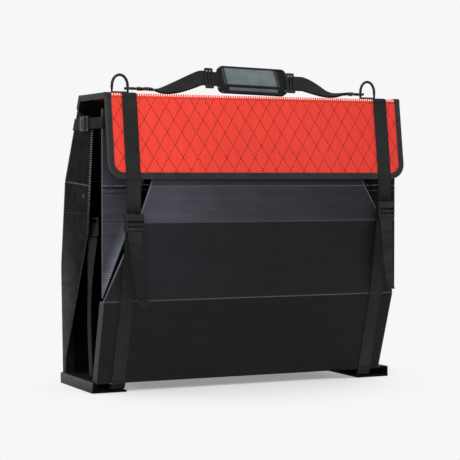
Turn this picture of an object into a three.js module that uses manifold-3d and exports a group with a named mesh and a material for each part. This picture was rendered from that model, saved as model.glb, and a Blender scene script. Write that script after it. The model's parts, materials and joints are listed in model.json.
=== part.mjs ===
// A folding kayak, folded down into its strapped carrying case.
// Millimetres, +Z up. The case's long side runs along X and its front faces -Y.
// The hull is one creased twin-wall sheet: its middle third makes the case's front,
// floor and back, and the bow and stern thirds are folded into it. The floorboard is the lid.

import * as THREE from 'three';
import { mergeVertices } from 'three/addons/utils/BufferGeometryUtils.js';
import Module from 'manifold-3d';

const wasm = await Module();
wasm.setup();

// Driving dimensions

const clearance = 0.3;
const sheet = 5;
const caseWidth = 818;
const caseHeight = 732.5;
const caseDepth = 335.5;
const halfCase = caseWidth / 2;

const floorUnder = 22;

// The front's creases, from the toe up: height and depth in front of the keel line
const front = {
  toeDepth: 90,
  kneeHeight: 228,
  kneeDepth: 150,
  bellyHeight: 420,
  bellyDepth: 181,
  shoulderHeight: 509,
  shoulderDepth: 185.5,
  topHeight: 695,
  cornerOverlap: 45,
  cornerTip: 9,
  flangeWidth: 22,
};

// How far those creases end from each end of the case
const creaseInset = {
  left: { toe: 2, knee: 0, belly: 78, shoulder: 109, top: 169 },
  right: { toe: 17, knee: 9, belly: 60, shoulder: 114, top: 169 },
};

const back = { kneeHeight: 300, kneeBulge: 12, kinkHeight: 519, roofAngle: 28.5 };

const crease = { depth: 1.6, half: 3 };

const lid = {
  frontDepth: 165,
  hingeDepth: 22,
  flapLength: 208,
  flapAngle: 7.9,
  cornerRadius: 40,
  backCorner: 10,
  backLength: 42,
  strapRun: 26,
  binding: 15,
  bindingSkin: 1.5,
  lipHeight: 15,
};

const foot = {
  overhang: 10,
  plateLength: 92,
  frontDepth: 96,
  backShort: 9,
  rampLength: 73,
};

const webbing = { width: 38, thickness: 2, endInset: 61 };

const endStrip = {
  heelHeight: 60,
  heelWidth: 4,
  bendHeight: 220,
  bendDepth: 56,
  edgeHeight: 388,
  edgeDepth: -32,
  topHeight: 668,
  topDepth: -70,
  chamferHeight: 678,
  chamferDepth: -18,
  chamferRise: 22,
  lowerCrease: 255,
  upperCrease: 450,
};

const nest = {
  endInset: 29,
  length: 530,
  frontHeight: 640,
  backHeight: 500,
};

const lock = {
  width: 48,
  bar: 6,
  lowerSlot: 12,
  middleBar: 7,
  upperSlot: 11,
  topBar: 8,
  slotWidth: 40,
  thickness: 5,
  corner: 4,
  leftHeight: 398,
  rightHeight: 424,
  strapDepth: 196,
  loopClearance: 0.5,
  loopAngle: 200,
};

const tail = { sway: 6, length: 186, leftDrift: 22, rightDrift: 10, gap: 0.5 };
const tailShares = [
  { drop: 0, drift: 0, sway: 0 },
  { drop: 0.04, drift: 0, sway: 0 },
  { drop: 0.25, drift: 0.1, sway: -0.2 },
  { drop: 0.6, drift: 0.45, sway: 0.6 },
  { drop: 0.91, drift: 0.9, sway: 1 },
  { drop: 1, drift: 1, sway: 0.2 },
];

const endStrap = { width: 28, height: 662, reach: 130, roofReach: 36 };

const buckle = {
  length: 60,
  width: 36,
  thickness: 10,
  start: -72,
  socketLength: 32,
  wall: 2,
  socketEnd: 4,
  plugBase: 14,
  plugBar: 4,
  prongWidth: 5,
  prongThickness: 4.4,
  catchRise: 3.2,
  catchLength: 9,
  windowLength: 12,
  tongueWidth: 6,
  tongueShort: 6,
};

const dRing = { width: 47, height: 51, wire: 5.6, depth: 105, legs: 18 };

const hook = {
  thickness: 5,
  bowRadius: 13,
  throatRadius: 8,
  shankWidth: 9,
  shankEnd: 30,
  eyeWidth: 50,
  eyeDepth: 16,
  eyeBar: 4,
  gateStart: 8,
  gateLength: 15,
  gateThickness: 3.4,
  gatePlay: 0.7,
  height: 12,
};

// The shoulder strap runs straight through the pad and twists down to a hook at each end
const carry = { width: 38, thickness: 2.4, straight: 141, lead: 4, settle: 5 };
const carrySteps = 14;
const carryRouteShares = [
  { along: 0.25, inward: 0.17, rise: -0.13, twist: 0.2 },
  { along: 0.56, inward: 0.6, rise: 0.2, twist: 0.62 },
  { along: 0.84, inward: 0.9, rise: 0.72, twist: 0.92 },
];

const pad = {
  length: 190,
  height: 69,
  thickness: 16,
  centre: -9,
  depth: 147,
  leanAngle: 15,
  corner: 14,
  crown: 3,
  sleeveHeight: 40,
  sleeveGap: 4,
  slopeAngle: 1.7,
};

const adjuster = { width: 52, length: 22, bar: 5, thickness: 4, travel: 14 };

const stowed = {
  bulkheadWidth: 420,
  bulkheadHeight: 300,
  bulkheadTop: 260,
  bulkheadDepth: 50,
  seatWidth: 400,
  seatHeight: 360,
  seatThickness: 24,
  backWidth: 380,
  backHeight: 320,
  backThickness: 18,
  spacing: 6,
  gripWidth: 110,
  gripHeight: 30,
  gripCorner: 14,
  gripDrop: 40,
  corner: 50,
};

const hanging = {
  width: 25,
  thickness: 1.8,
  inset: 21,
  depth: -20,
  buckleHeight: 384,
  buckleLength: 46,
  buckleWidth: 34,
  buckleThickness: 9,
  buckleAngle: 45,
  bow: 28,
};
const hangingShares = [
  { drop: 0, bow: 0, turn: 1 },
  { drop: 0.04, bow: 0, turn: 0.9 },
  { drop: 0.17, bow: 0.49, turn: 0.5 },
  { drop: 0.31, bow: 0.74, turn: 0.1 },
  { drop: 0.45, bow: 0.91, turn: 0 },
  { drop: 0.6, bow: 1, turn: 0 },
  { drop: 0.75, bow: 0.88, turn: 0 },
  { drop: 0.92, bow: 0.6, turn: 0 },
  { drop: 1, bow: 0.6, turn: 0 },
];

const degree = Math.PI / 180;
const arcSteps = 8;
const bendSteps = 4;

// Materials

function finish(color, roughness, metalness = 0) {
  return new THREE.MeshStandardMaterial({ color, roughness, metalness });
}
const hullSheet = finish(0x26282b, 0.42);
const lidSheet = finish(0xf5493c, 0.45);
const bindingTape = finish(0x2f3131, 0.8);
const strapWeave = finish(0x2b2d2c, 0.85);
const buckleMoulding = finish(0x1b1c1d, 0.35);
const hookSteel = finish(0x2a2b2d, 0.3, 0.8);
const padCloth = finish(0x6f7a7a, 0.8);
const foam = finish(0x3a3d40, 0.9);

// Building blocks

const point = (x, y, z) => new THREE.Vector3(x, y, z);
const flat = (y, z) => new THREE.Vector2(y, z);

function volumeOf(geometry) {
  const place = geometry.getAttribute('position');
  const index = geometry.getIndex().array;
  const [a, b, c] = [point(0, 0, 0), point(0, 0, 0), point(0, 0, 0)];
  let volume = 0;
  for (let i = 0; i < index.length; i += 3) {
    a.fromBufferAttribute(place, index[i]);
    b.fromBufferAttribute(place, index[i + 1]);
    c.fromBufferAttribute(place, index[i + 2]);
    volume += a.dot(b.cross(c)) / 6;
  }
  return volume;
}

// A closed body through rings of points, with flat ends or joined end to start. The two halves of
// a ring split their faces alike, so a twisted band keeps its thickness.
function loft(rings, looped = false) {
  const count = rings[0].length;
  const last = rings.length - 1;
  const at = (i, j) => (i % rings.length) * count + (j % count);
  const index = [];
  const spans = looped ? rings.length : last;
  for (let i = 0; i < spans; i += 1) {
    for (let j = 0; j < count; j += 1) {
      const [a, b, c, d] = [at(i, j), at(i, j + 1), at(i + 1, j + 1), at(i + 1, j)];
      index.push(...(j < count / 2 ? [a, b, c, a, c, d] : [a, b, d, b, c, d]));
    }
  }
  for (let j = 1; j < count - 1 && !looped; j += 1) {
    index.push(at(0, 0), at(0, j + 1), at(0, j));
    index.push(at(last, 0), at(last, j), at(last, j + 1));
  }
  const geometry = new THREE.BufferGeometry();
  const places = rings.flat().flatMap((p) => [p.x, p.y, p.z]);
  geometry.setAttribute('position', new THREE.Float32BufferAttribute(places, 3));
  if (volumeOf(geometry.setIndex(index)) < 0) index.reverse();
  return geometry.setIndex(index);
}

function bare(geometry) {
  const copy = geometry.clone();
  copy.deleteAttribute('normal');
  copy.deleteAttribute('uv');
  return mergeVertices(copy);
}

function solidOf(geometry) {
  const merged = bare(geometry);
  const vertProperties = new Float32Array(merged.getAttribute('position').array);
  const triVerts = new Uint32Array(merged.getIndex().array);
  return new wasm.Manifold(new wasm.Mesh({ numProp: 3, vertProperties, triVerts }));
}

function geometryOf(solid) {
  const mesh = solid.getMesh();
  const geometry = new THREE.BufferGeometry();
  geometry.setAttribute('position', new THREE.Float32BufferAttribute(mesh.vertProperties, 3));
  return geometry.setIndex(Array.from(mesh.triVerts));
}

function cut(body, ...tools) {
  return geometryOf(tools.reduce((solid, tool) => solid.subtract(solidOf(tool)), solidOf(body)));
}

function join(body, ...more) {
  return geometryOf(more.reduce((solid, other) => solid.add(solidOf(other)), solidOf(body)));
}

function block(low, high) {
  const size = high.clone().sub(low);
  const middle = high.clone().add(low).multiplyScalar(0.5);
  return new THREE.BoxGeometry(size.x, size.y, size.z).translate(middle.x, middle.y, middle.z);
}

// Moves a line of the Y-Z plane sideways, to its left as it runs, with mitred bends
function beside(line, distance) {
  const last = line.length - 1;
  return line.map((here, i) => {
    const along = [i > 0 && here.clone().sub(line[i - 1]), i < last && line[i + 1].clone().sub(here)];
    const runs = along.filter(Boolean).map((run) => run.normalize());
    const sides = runs.map((run) => flat(-run.y, run.x));
    const mitre = sides.reduce((sum, side) => sum.add(side), flat(0, 0)).normalize();
    return here.clone().addScaledVector(mitre, distance / mitre.dot(sides[0]));
  });
}

function depthAt(line, height) {
  const i = line.findIndex((spot, k) => k > 0 && spot.y >= height && line[k - 1].y <= height);
  const [low, high] = i > 0 ? [line[i - 1], line[i]] : [line[0], line[1]];
  return low.x + ((high.x - low.x) * (height - low.y)) / (high.y - low.y);
}

// A sheet that follows a creased line in the Y-Z plane. Each row of the line gives the sheet's
// left and right edges. Creases are scored with a groove on the outer face.
function creasedSheet(line, edges, creased = () => false) {
  const rows = [];
  line.forEach((spot, i) => {
    if (!creased(i)) {
      rows.push({ spot, edge: edges[i], dip: 0 });
      return;
    }
    const toward = (j) => {
      const share = crease.half / spot.distanceTo(line[j]);
      const edge = edges[i].map((x, k) => x + (edges[j][k] - x) * share);
      return { spot: spot.clone().lerp(line[j], share), edge, dip: 0 };
    };
    rows.push(toward(i - 1), { spot, edge: edges[i], dip: crease.depth }, toward(i + 1));
  });
  const spots = rows.map((row) => row.spot);
  const inner = beside(spots, -sheet);
  const outer = spots.map((spot, i) => spot.clone().lerp(inner[i], rows[i].dip / sheet));
  return loft(rows.map(({ edge: [left, right] }, i) => [
    point(left, outer[i].x, outer[i].y),
    point(right, outer[i].x, outer[i].y),
    point(right, inner[i].x, inner[i].y),
    point(left, inner[i].x, inner[i].y),
  ]));
}

// A flat band along a line of points. Its width lies across the line, its thickness is centred on it.
function band(path, width, thickness, across) {
  const widthways = path.map((_, i) => (Array.isArray(across) ? across[i] : across).clone().normalize());
  return loft(path.map((here, i) => {
    const before = path[Math.max(i - 1, 0)];
    const after = path[Math.min(i + 1, path.length - 1)];
    const into = here.clone().sub(i > 0 ? before : here).normalize();
    const onward = after.clone().sub(here).normalize();
    const run = into.clone().add(onward).normalize();
    const face = run.clone().cross(widthways[i]).normalize();
    const side = face.clone().cross(run).normalize();
    const straight = (i > 0 ? into : onward).clone().cross(side).normalize();
    const rise = face.multiplyScalar(thickness / 2 / Math.max(Math.abs(face.dot(straight)), 0.5));
    const reach = side.multiplyScalar(width / 2);
    return [
      here.clone().add(rise).add(reach),
      here.clone().add(rise).sub(reach),
      here.clone().sub(rise).sub(reach),
      here.clone().sub(rise).add(reach),
    ];
  }));
}

// A strap that lies in a Y-Z plane, from the centre line of its thickness
function uprightStrap(line, x, width = webbing.width, thickness = webbing.thickness) {
  return band(line.map((spot) => point(x, spot.x, spot.y)), width, thickness, point(1, 0, 0));
}

// A round wire along points of one plane, closed on itself or open
function wire(path, radius, normal, looped) {
  const last = path.length - 1;
  const sides = 8;
  return loft(path.map((here, i) => {
    const before = looped ? path[(i + last) % path.length] : path[Math.max(i - 1, 0)];
    const after = looped ? path[(i + 1) % path.length] : path[Math.min(i + 1, last)];
    const out = after.clone().sub(before).normalize().cross(normal).normalize();
    return Array.from({ length: sides }, (_, k) => {
      const turn = (k * 2 * Math.PI) / sides;
      const offset = out.clone().multiplyScalar(Math.cos(turn) * radius);
      return here.clone().add(offset).addScaledVector(normal, Math.sin(turn) * radius);
    });
  }), looped);
}

function roundedOutline(width, height, radius, Kind = THREE.Shape) {
  const [w, h, r] = [width / 2, height / 2, radius];
  const outline = new Kind();
  outline.moveTo(r - w, -h);
  outline.lineTo(w - r, -h);
  outline.absarc(w - r, r - h, r, -Math.PI / 2, 0);
  outline.lineTo(w, h - r);
  outline.absarc(w - r, h - r, r, 0, Math.PI / 2);
  outline.lineTo(r - w, h);
  outline.absarc(r - w, h - r, r, Math.PI / 2, Math.PI);
  outline.lineTo(-w, r - h);
  outline.absarc(r - w, r - h, r, Math.PI, Math.PI * 1.5);
  return outline;
}

// Extrudes an outline drawn in X and Z towards +Y
function upright(outline, thickness, curveSegments = arcSteps) {
  const settings = { depth: thickness, bevelEnabled: false, curveSegments };
  return new THREE.ExtrudeGeometry(outline, settings).rotateX(Math.PI / 2).translate(0, thickness, 0);
}

// Extrudes an outline drawn in Y and Z towards +X
function sideways(outline, thickness, start) {
  const solid = new THREE.ExtrudeGeometry(outline, { depth: thickness, bevelEnabled: false });
  return solid.rotateX(Math.PI / 2).rotateZ(Math.PI / 2).translate(start, 0, 0);
}

const model = new THREE.Group();

function place(group, name, geometry, material) {
  const mesh = new THREE.Mesh(geometry, material);
  mesh.name = name;
  group.add(mesh);
  return mesh;
}

const ends = [{ name: 'left', sign: -1 }, { name: 'right', sign: 1 }];

// The creased lines that the hull follows

const backDepth = caseDepth - front.shoulderDepth;
const floorTop = floorUnder + sheet;
const roofLean = back.roofAngle * degree;
const flapLean = lid.flapAngle * degree;
const lidSkin = lid.bindingSkin + clearance;
const lidDeep = sheet + lidSkin + clearance;

const flapDepth = (height) => -lid.frontDepth - (caseHeight - height) * Math.tan(flapLean);
const behindFlap = (sheet + 2 * lid.bindingSkin) / Math.cos(flapLean);
const frontLine = [
  flat(-front.toeDepth, floorUnder),
  flat(-front.kneeDepth, front.kneeHeight),
  flat(-front.bellyDepth, front.bellyHeight),
  flat(-front.shoulderDepth, front.shoulderHeight),
  flat(flapDepth(front.topHeight) + behindFlap, front.topHeight),
];

const roofSlope = flat(Math.sin(roofLean), -Math.cos(roofLean));
const roofOutward = flat(Math.cos(roofLean), Math.sin(roofLean));
const backHinge = flat(lid.hingeDepth, caseHeight);
const roofTop = backHinge.clone().addScaledVector(roofOutward, -lidDeep)
  .addScaledVector(roofSlope, lidDeep);
const kinkDepth = roofTop.x + (roofTop.y - back.kinkHeight) * Math.tan(roofLean);
const backLine = [
  flat(backDepth, floorUnder),
  flat(backDepth + back.kneeBulge, back.kneeHeight),
  flat(kinkDepth, back.kinkHeight),
  roofTop,
];
const backInner = beside(backLine, sheet);

const strapPlace = halfCase - webbing.endInset;

const cornerFace = -front.kneeDepth + sheet + 2 * clearance;

// The hull's middle third: front, corners behind it, floor, back, end strips and feet

// The front's lower edges are turned in as narrow flanges at both ends
function frontPanel() {
  const rows = ['toe', 'knee', 'belly', 'shoulder', 'top'];
  const edges = rows.map((row) => ends.map(({ name, sign }) => sign * (halfCase - creaseInset[name][row])));
  const panel = creasedSheet(frontLine, edges, (i) => i > 0 && i < frontLine.length - 1);
  const inner = beside(frontLine, -sheet);
  const flanges = ends.map(({ sign }, side) => {
    const fold = [flat(edges[0][side], floorUnder), flat(edges[1][side], front.kneeHeight)];
    return loft([floorTop + clearance, front.kneeHeight].map((height) => {
      const depth = depthAt(inner, height) - sheet / 2;
      const outside = depthAt(fold, height);
      const inside = outside - sign * sheet;
      return [
        point(outside, depth, height),
        point(outside, depth + front.flangeWidth, height),
        point(inside, depth + front.flangeWidth, height),
        point(inside, depth, height),
      ];
    }));
  });
  place(model, 'front_panel', join(panel, ...flanges), hullSheet);
}

function frontCorner({ name, sign }) {
  const half = (height) => {
    const rise = (height - front.kneeHeight) / (front.shoulderHeight - front.kneeHeight);
    return halfCase - (creaseInset[name].shoulder + front.cornerOverlap) * rise;
  };
  const heights = [
    front.kneeHeight + front.cornerTip,
    front.bellyHeight,
    front.shoulderHeight,
    front.topHeight,
  ];
  const inboard = heights.map(half);
  inboard[3] = halfCase - creaseInset[name].top - front.cornerOverlap;
  const line = heights.map((height) => flat(cornerFace, height));
  const edges = inboard.map((x) => (sign < 0 ? [-halfCase, -x] : [x, halfCase]));
  const corner = creasedSheet(line, edges, (i) => i === 1 || i === 2);
  place(model, `front_corner_${name}`, corner, hullSheet);
}

function hullFloor() {
  const frontEdge = depthAt(beside(frontLine, -sheet), floorUnder) + clearance;
  const backEdge = Math.min(backInner[0].x, backDepth - sheet) - clearance;
  const half = halfCase + foot.overhang - sheet - clearance;
  const low = point(-half, frontEdge, floorUnder);
  const board = block(low, point(half, backEdge, floorTop));
  const keel = block(
    point(-half - sheet, -crease.half / 2, floorUnder - sheet),
    point(half + sheet, crease.half / 2, floorUnder + crease.depth),
  );
  place(model, 'hull_floor', cut(board, keel), hullSheet);
}

function backPanel() {
  const edges = backLine.map(() => [-halfCase, halfCase]);
  const turned = backLine.map((spot) => flat(-spot.x, spot.y));
  const panel = creasedSheet(turned, edges, (i) => i === 1 || i === 2).scale(-1, -1, 1);
  place(model, 'back_panel', panel, hullSheet);
}

function endStripPanel({ name, sign }) {
  const e = endStrip;
  const edge = [
    flat(backDepth - sheet - e.heelWidth, e.heelHeight),
    flat(e.bendDepth, e.bendHeight),
    flat(e.edgeDepth, e.edgeHeight),
    flat(e.topDepth, e.topHeight),
  ];
  const wall = (height) => depthAt(backInner, height) - clearance;
  const row = (height, dip = 0) => ({ front: depthAt(edge, height), back: wall(height), height, dip });
  const scored = (height) => [
    row(height - crease.half),
    row(height, crease.depth),
    row(height + crease.half),
  ];
  const rows = [
    row(floorTop + clearance),
    row(e.heelHeight),
    row(e.bendHeight),
    ...scored(e.lowerCrease),
    row(e.edgeHeight),
    ...scored(e.upperCrease),
    ...scored(back.kinkHeight),
    row(e.topHeight),
  ];
  rows[0].front = edge[0].x;
  const outside = sign * halfCase;
  const inside = sign * (halfCase - sheet);
  const rings = rows.map(({ front: low, back: high, height, dip }) => [
    point(outside - sign * dip, low, height),
    point(outside - sign * dip, high, height),
    point(inside, high, height),
    point(inside, low, height),
  ]);
  const crest = e.chamferHeight + e.chamferRise;
  const top = [e.chamferDepth, e.chamferHeight, wall(crest), crest];
  rings.push([
    point(outside, top[0], top[1]),
    point(outside, top[2], top[3]),
    point(inside, top[2], top[3]),
    point(inside, top[0], top[1]),
  ]);
  place(model, `end_strip_${name}`, loft(rings), hullSheet);
}

const footBack = backDepth - foot.backShort;

function footChannel({ name, sign }) {
  const outer = halfCase + foot.overhang;
  const plateEnd = outer - foot.plateLength;
  const outline = new THREE.Shape();
  outline.moveTo(sign * outer, floorTop);
  outline.lineTo(sign * outer, 0);
  outline.lineTo(sign * plateEnd, 0);
  if (sign > 0) {
    outline.lineTo(plateEnd - foot.rampLength, floorUnder - clearance - sheet / 2);
    outline.lineTo(plateEnd - foot.rampLength, floorUnder - clearance);
    outline.lineTo(plateEnd - foot.rampLength + sheet, floorUnder - clearance);
  }
  outline.lineTo(sign * (plateEnd + (sign > 0 ? sheet / 2 : 0)), sheet);
  outline.lineTo(sign * (outer - sheet), sheet);
  outline.lineTo(sign * (outer - sheet), floorTop);
  const channel = upright(outline, foot.frontDepth + footBack).translate(0, -foot.frontDepth, 0);
  place(model, `foot_${name}`, channel, hullSheet);
}

// The bow and stern thirds, folded into the middle one as nested channels

function nestedSection(name, start, end, layer) {
  const step = clearance + layer * (sheet + clearance);
  const frontSide = cornerFace + sheet + step;
  const low = floorTop + step;
  const inward = beside(frontLine, -(2 * sheet + 2 * clearance + step));
  const kneeAt = front.kneeHeight;
  const lowFront = depthAt(inward, low);
  const rear = beside(backLine, sheet + step);
  const line = [
    flat(frontSide, nest.frontHeight - layer * sheet),
    flat(frontSide, kneeAt),
    flat(lowFront, low),
    flat(depthAt(rear, low), low),
    flat(rear[1].x, back.kneeHeight),
    flat(depthAt(rear, nest.backHeight), nest.backHeight),
  ];
  const inner = beside(line, sheet);
  const rings = line.map((spot, i) => [
    point(start, spot.x, spot.y),
    point(end, spot.x, spot.y),
    point(end, inner[i].x, inner[i].y),
    point(start, inner[i].x, inner[i].y),
  ]);
  place(model, name, loft(rings), hullSheet);
}

// Fittings of the boat, stowed on edge inside

function stowedFittings() {
  const s = stowed;
  const base = floorTop + 2 * (sheet + clearance) + clearance;
  const bulkhead = () => {
    const [w, t, h, r] = [s.bulkheadWidth / 2, s.bulkheadTop / 2, s.bulkheadHeight, s.corner];
    const outline = new THREE.Shape();
    outline.moveTo(r - w, 0);
    outline.lineTo(w - r, 0);
    outline.quadraticCurveTo(w, 0, w, r);
    outline.lineTo(t, h);
    outline.lineTo(-t, h);
    outline.lineTo(-w, r);
    outline.quadraticCurveTo(-w, 0, r - w, 0);
    const grip = roundedOutline(s.gripWidth, s.gripHeight, s.gripCorner, THREE.Path);
    const centre = new THREE.Vector2(0, h - s.gripDrop);
    outline.holes.push(new THREE.Path(grip.getPoints(arcSteps).map((p) => p.clone().add(centre))));
    return upright(outline, sheet);
  };
  const board = (width, height, thickness) => {
    const outline = roundedOutline(width, height, s.corner);
    return upright(outline, thickness).translate(0, 0, height / 2);
  };
  let depth = -s.bulkheadDepth;
  const stow = (name, geometry, thickness, material) => {
    place(model, name, geometry.translate(0, depth, base), material);
    depth += thickness + s.spacing;
  };
  stow('bow_bulkhead', bulkhead(), sheet, hullSheet);
  stow('stern_bulkhead', bulkhead(), sheet, hullSheet);
  stow('seat_base', board(s.seatWidth, s.seatHeight, s.seatThickness), s.seatThickness, foam);
  stow('seat_back', board(s.backWidth, s.backHeight, s.backThickness), s.backThickness, foam);
}

frontPanel();
ends.forEach(frontCorner);
hullFloor();
backPanel();
ends.forEach(endStripPanel);
ends.forEach(footChannel);
const nestEnd = halfCase - nest.endInset;
nestedSection('bow_section', -nestEnd, nest.length - nestEnd, 0);
nestedSection('stern_section', nestEnd - nest.length, nestEnd, 1);
stowedFittings();

// The lid: the boat's floorboard, creased into a back strip, a top and a front flap

// A bound board hangs from its crease at z 0 down to -length, its outer face at y 0
function boundOutline(width, length, radius, start) {
  const w = width / 2;
  const outline = new THREE.Shape();
  outline.moveTo(-w, start);
  if (radius > 0) {
    outline.lineTo(-w, radius - length);
    outline.absarc(radius - w, radius - length, radius, Math.PI, Math.PI * 1.5);
    outline.absarc(w - radius, radius - length, radius, -Math.PI / 2, 0);
  } else {
    outline.lineTo(-w, -length);
    outline.lineTo(w, -length);
  }
  outline.lineTo(w, start);
  return outline;
}

function boundBoard(group, name, length, radius, start) {
  const { binding, bindingSkin } = lid;
  const skin = bindingSkin + clearance;
  const overhang = 2 * skin;
  const boardWidth = caseWidth - overhang;
  const rim = Math.max(radius, 0);
  const board = upright(boundOutline(boardWidth, length - skin, Math.max(rim - skin, 0), start), sheet);
  const envelope = upright(boundOutline(boardWidth + 2 * clearance, length - bindingSkin,
    Math.max(rim - bindingSkin, 0), sheet), sheet + 2 * clearance).translate(0, -clearance, 0);
  const shell = upright(boundOutline(caseWidth, length, rim, start), sheet + 2 * skin)
    .translate(0, -skin, 0);
  const window = upright(boundOutline(caseWidth - 2 * binding, length - binding,
    Math.max(rim - binding, 0), sheet), sheet + 4 * skin).translate(0, -2 * skin, 0);
  place(group, `${name}_panel`, board, lidSheet);
  place(group, `${name}_binding`, cut(shell, envelope, window), bindingTape);
}

const lidBack = new THREE.Group();
lidBack.position.set(0, lid.hingeDepth, caseHeight);
lidBack.rotation.set(roofLean, 0, Math.PI);
model.add(lidBack);

const lidFlap = new THREE.Group();
lidFlap.position.set(0, -lid.frontDepth, caseHeight);
lidFlap.rotation.x = -flapLean;
model.add(lidFlap);

// The tape at each end of the lid's top hangs a little below the board as a lip
function lidTop() {
  const width = caseWidth - 2 * lidSkin;
  const frontEdge = -lid.frontDepth;
  const top = block(
    point(-width / 2, frontEdge, caseHeight - sheet),
    point(width / 2, lid.hingeDepth, caseHeight),
  );
  place(model, 'lid_top_panel', top, lidSheet);
  ends.forEach(({ name, sign }) => {
    const span = (from, to) => [Math.min(sign * from, sign * to), Math.max(sign * from, sign * to)];
    const [tapeFrom, tapeTo] = span(halfCase - lid.binding, halfCase);
    const [slotFrom, slotTo] = span(0, width / 2 + clearance);
    const tape = block(
      point(tapeFrom, frontEdge + lidSkin, caseHeight - sheet - lidSkin),
      point(tapeTo, lid.hingeDepth - lidSkin, caseHeight + lidSkin),
    );
    const slot = block(
      point(slotFrom, frontEdge - sheet, caseHeight - sheet - clearance),
      point(slotTo, lid.hingeDepth + sheet, caseHeight + clearance),
    );
    const [lipFrom, lipTo] = span(halfCase - 2 * lid.bindingSkin, halfCase);
    const tapeTop = caseHeight + lidSkin;
    const lip = block(
      point(lipFrom, frontEdge + lidDeep + clearance, tapeTop - lid.lipHeight),
      point(lipTo, lid.hingeDepth - lidDeep - sheet, tapeTop - lid.bindingSkin),
    );
    place(model, `lid_top_binding_${name}`, cut(join(tape, lip), slot), bindingTape);
  });
}

lidTop();
boundBoard(lidFlap, 'lid_flap', lid.flapLength, lid.cornerRadius, -lidDeep);
boundBoard(lidBack, 'lid_back', lid.backLength, lid.backCorner, -lidDeep);

// The two vertical straps: down the flap, over the top, round the hull and back to the lock

const halfWeb = webbing.thickness / 2;
const strapSeat = clearance + halfWeb;
const lockHeight = lock.bar + lock.lowerSlot + lock.middleBar + lock.upperSlot + lock.topBar;
const loopRadius = Math.hypot(lock.bar, lock.thickness) / 2 + lock.loopClearance;
const lockPlace = { left: lock.leftHeight, right: lock.rightHeight };
const cornerShort = webbing.thickness + clearance;

function flapStrap({ name, sign }) {
  const out = -(lidSkin + strapSeat);
  const end = lockPlace[name] + lockHeight + clearance;
  const edge = -(lid.flapLength + webbing.thickness);
  const hang = caseHeight + edge * Math.cos(flapLean) - end;
  const line = [
    flat(out, -cornerShort),
    flat(out, edge),
    flat(out + Math.sin(flapLean) * hang, edge - Math.cos(flapLean) * hang),
  ];
  place(lidFlap, `front_strap_${name}`, uprightStrap(line, sign * strapPlace), strapWeave);
}

// Each top strap rises over the bar of its D-ring
function topStrap({ name, sign }) {
  const low = caseHeight + strapSeat;
  const ringBar = dRing.wire / 2;
  const centre = flat(-dRing.depth, caseHeight + clearance + ringBar);
  const over = ringBar + clearance + halfWeb;
  const hump = Array.from({ length: bendSteps + 1 }, (_, i) => {
    const turn = Math.PI - (i * Math.PI) / bendSteps;
    return flat(centre.x + Math.cos(turn) * over, centre.y + Math.sin(turn) * over);
  });
  const line = [
    flat(-lid.frontDepth + cornerShort, low),
    flat(centre.x - 2 * over, low),
    ...hump,
    flat(centre.x + 2 * over, low),
    flat(lid.hingeDepth - cornerShort, low),
  ];
  place(model, `top_strap_${name}`, uprightStrap(line, sign * strapPlace), strapWeave);
}

// The lock's own frame: its back face at y 0 and its lower edge at z 0
function lockFrame(name) {
  const pivotDepth = -lock.strapDepth;
  return { y: pivotDepth + lock.thickness / 2, z: lockPlace[name] };
}

// Up from the lock's lower bar, down the front, through the foot and up the back to the lid
function lowerStrap({ name, sign }) {
  const origin = lockFrame(name);
  const axis = flat(origin.y - lock.thickness / 2, origin.z + lock.bar / 2);
  const radius = loopRadius + halfWeb;
  const loop = Array.from({ length: bendSteps + 1 }, (_, i) => {
    const turn = lock.loopAngle * degree - (i * Math.PI) / bendSteps;
    return flat(axis.x + Math.cos(turn) * radius, axis.y + Math.sin(turn) * radius);
  });
  const down = beside([axis, frontLine[1], frontLine[0]], -strapSeat).slice(1);
  const channel = sheet + strapSeat;
  const footing = [
    flat(down[1].x, floorUnder - clearance),
    flat(-front.toeDepth + sheet, channel),
    flat(footBack - sheet, channel),
    flat(backDepth + strapSeat + clearance, floorUnder - sheet),
  ];
  const wall = beside(backLine, -strapSeat);
  const onRoof = (along, out) => backHinge.clone().addScaledVector(roofSlope, along)
    .addScaledVector(roofOutward, out + strapSeat);
  const line = [
    ...loop,
    down[0],
    ...footing,
    wall[1],
    wall[2],
    onRoof(lid.backLength + lid.strapRun, -lidDeep),
    onRoof(lid.backLength + webbing.thickness, lidSkin),
    onRoof(cornerShort, lidSkin),
  ];
  place(model, `lower_strap_${name}`, uprightStrap(line, sign * strapPlace), strapWeave);
}

function ladderLock({ name, sign }) {
  const { y, z } = lockFrame(name);
  const outline = roundedOutline(lock.width, lockHeight, lock.corner);
  const slot = (low, height) => {
    const hole = roundedOutline(lock.slotWidth, height, lock.corner / 3, THREE.Path);
    const centre = new THREE.Vector2(0, low + height / 2 - lockHeight / 2);
    return new THREE.Path(hole.getPoints(2).map((p) => p.clone().add(centre)));
  };
  outline.holes.push(slot(lock.bar, lock.lowerSlot));
  outline.holes.push(slot(lock.bar + lock.lowerSlot + lock.middleBar, lock.upperSlot));
  const frame = upright(outline, lock.thickness, 3);
  frame.translate(sign * strapPlace, y - lock.thickness, z + lockHeight / 2);
  place(model, `ladder_lock_${name}`, frame, buckleMoulding);
}

// In front of the lower strap's loop, where the tail passes
const beyondLoop = (y) => y - lock.thickness / 2 - loopRadius - webbing.thickness - strapSeat;

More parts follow.
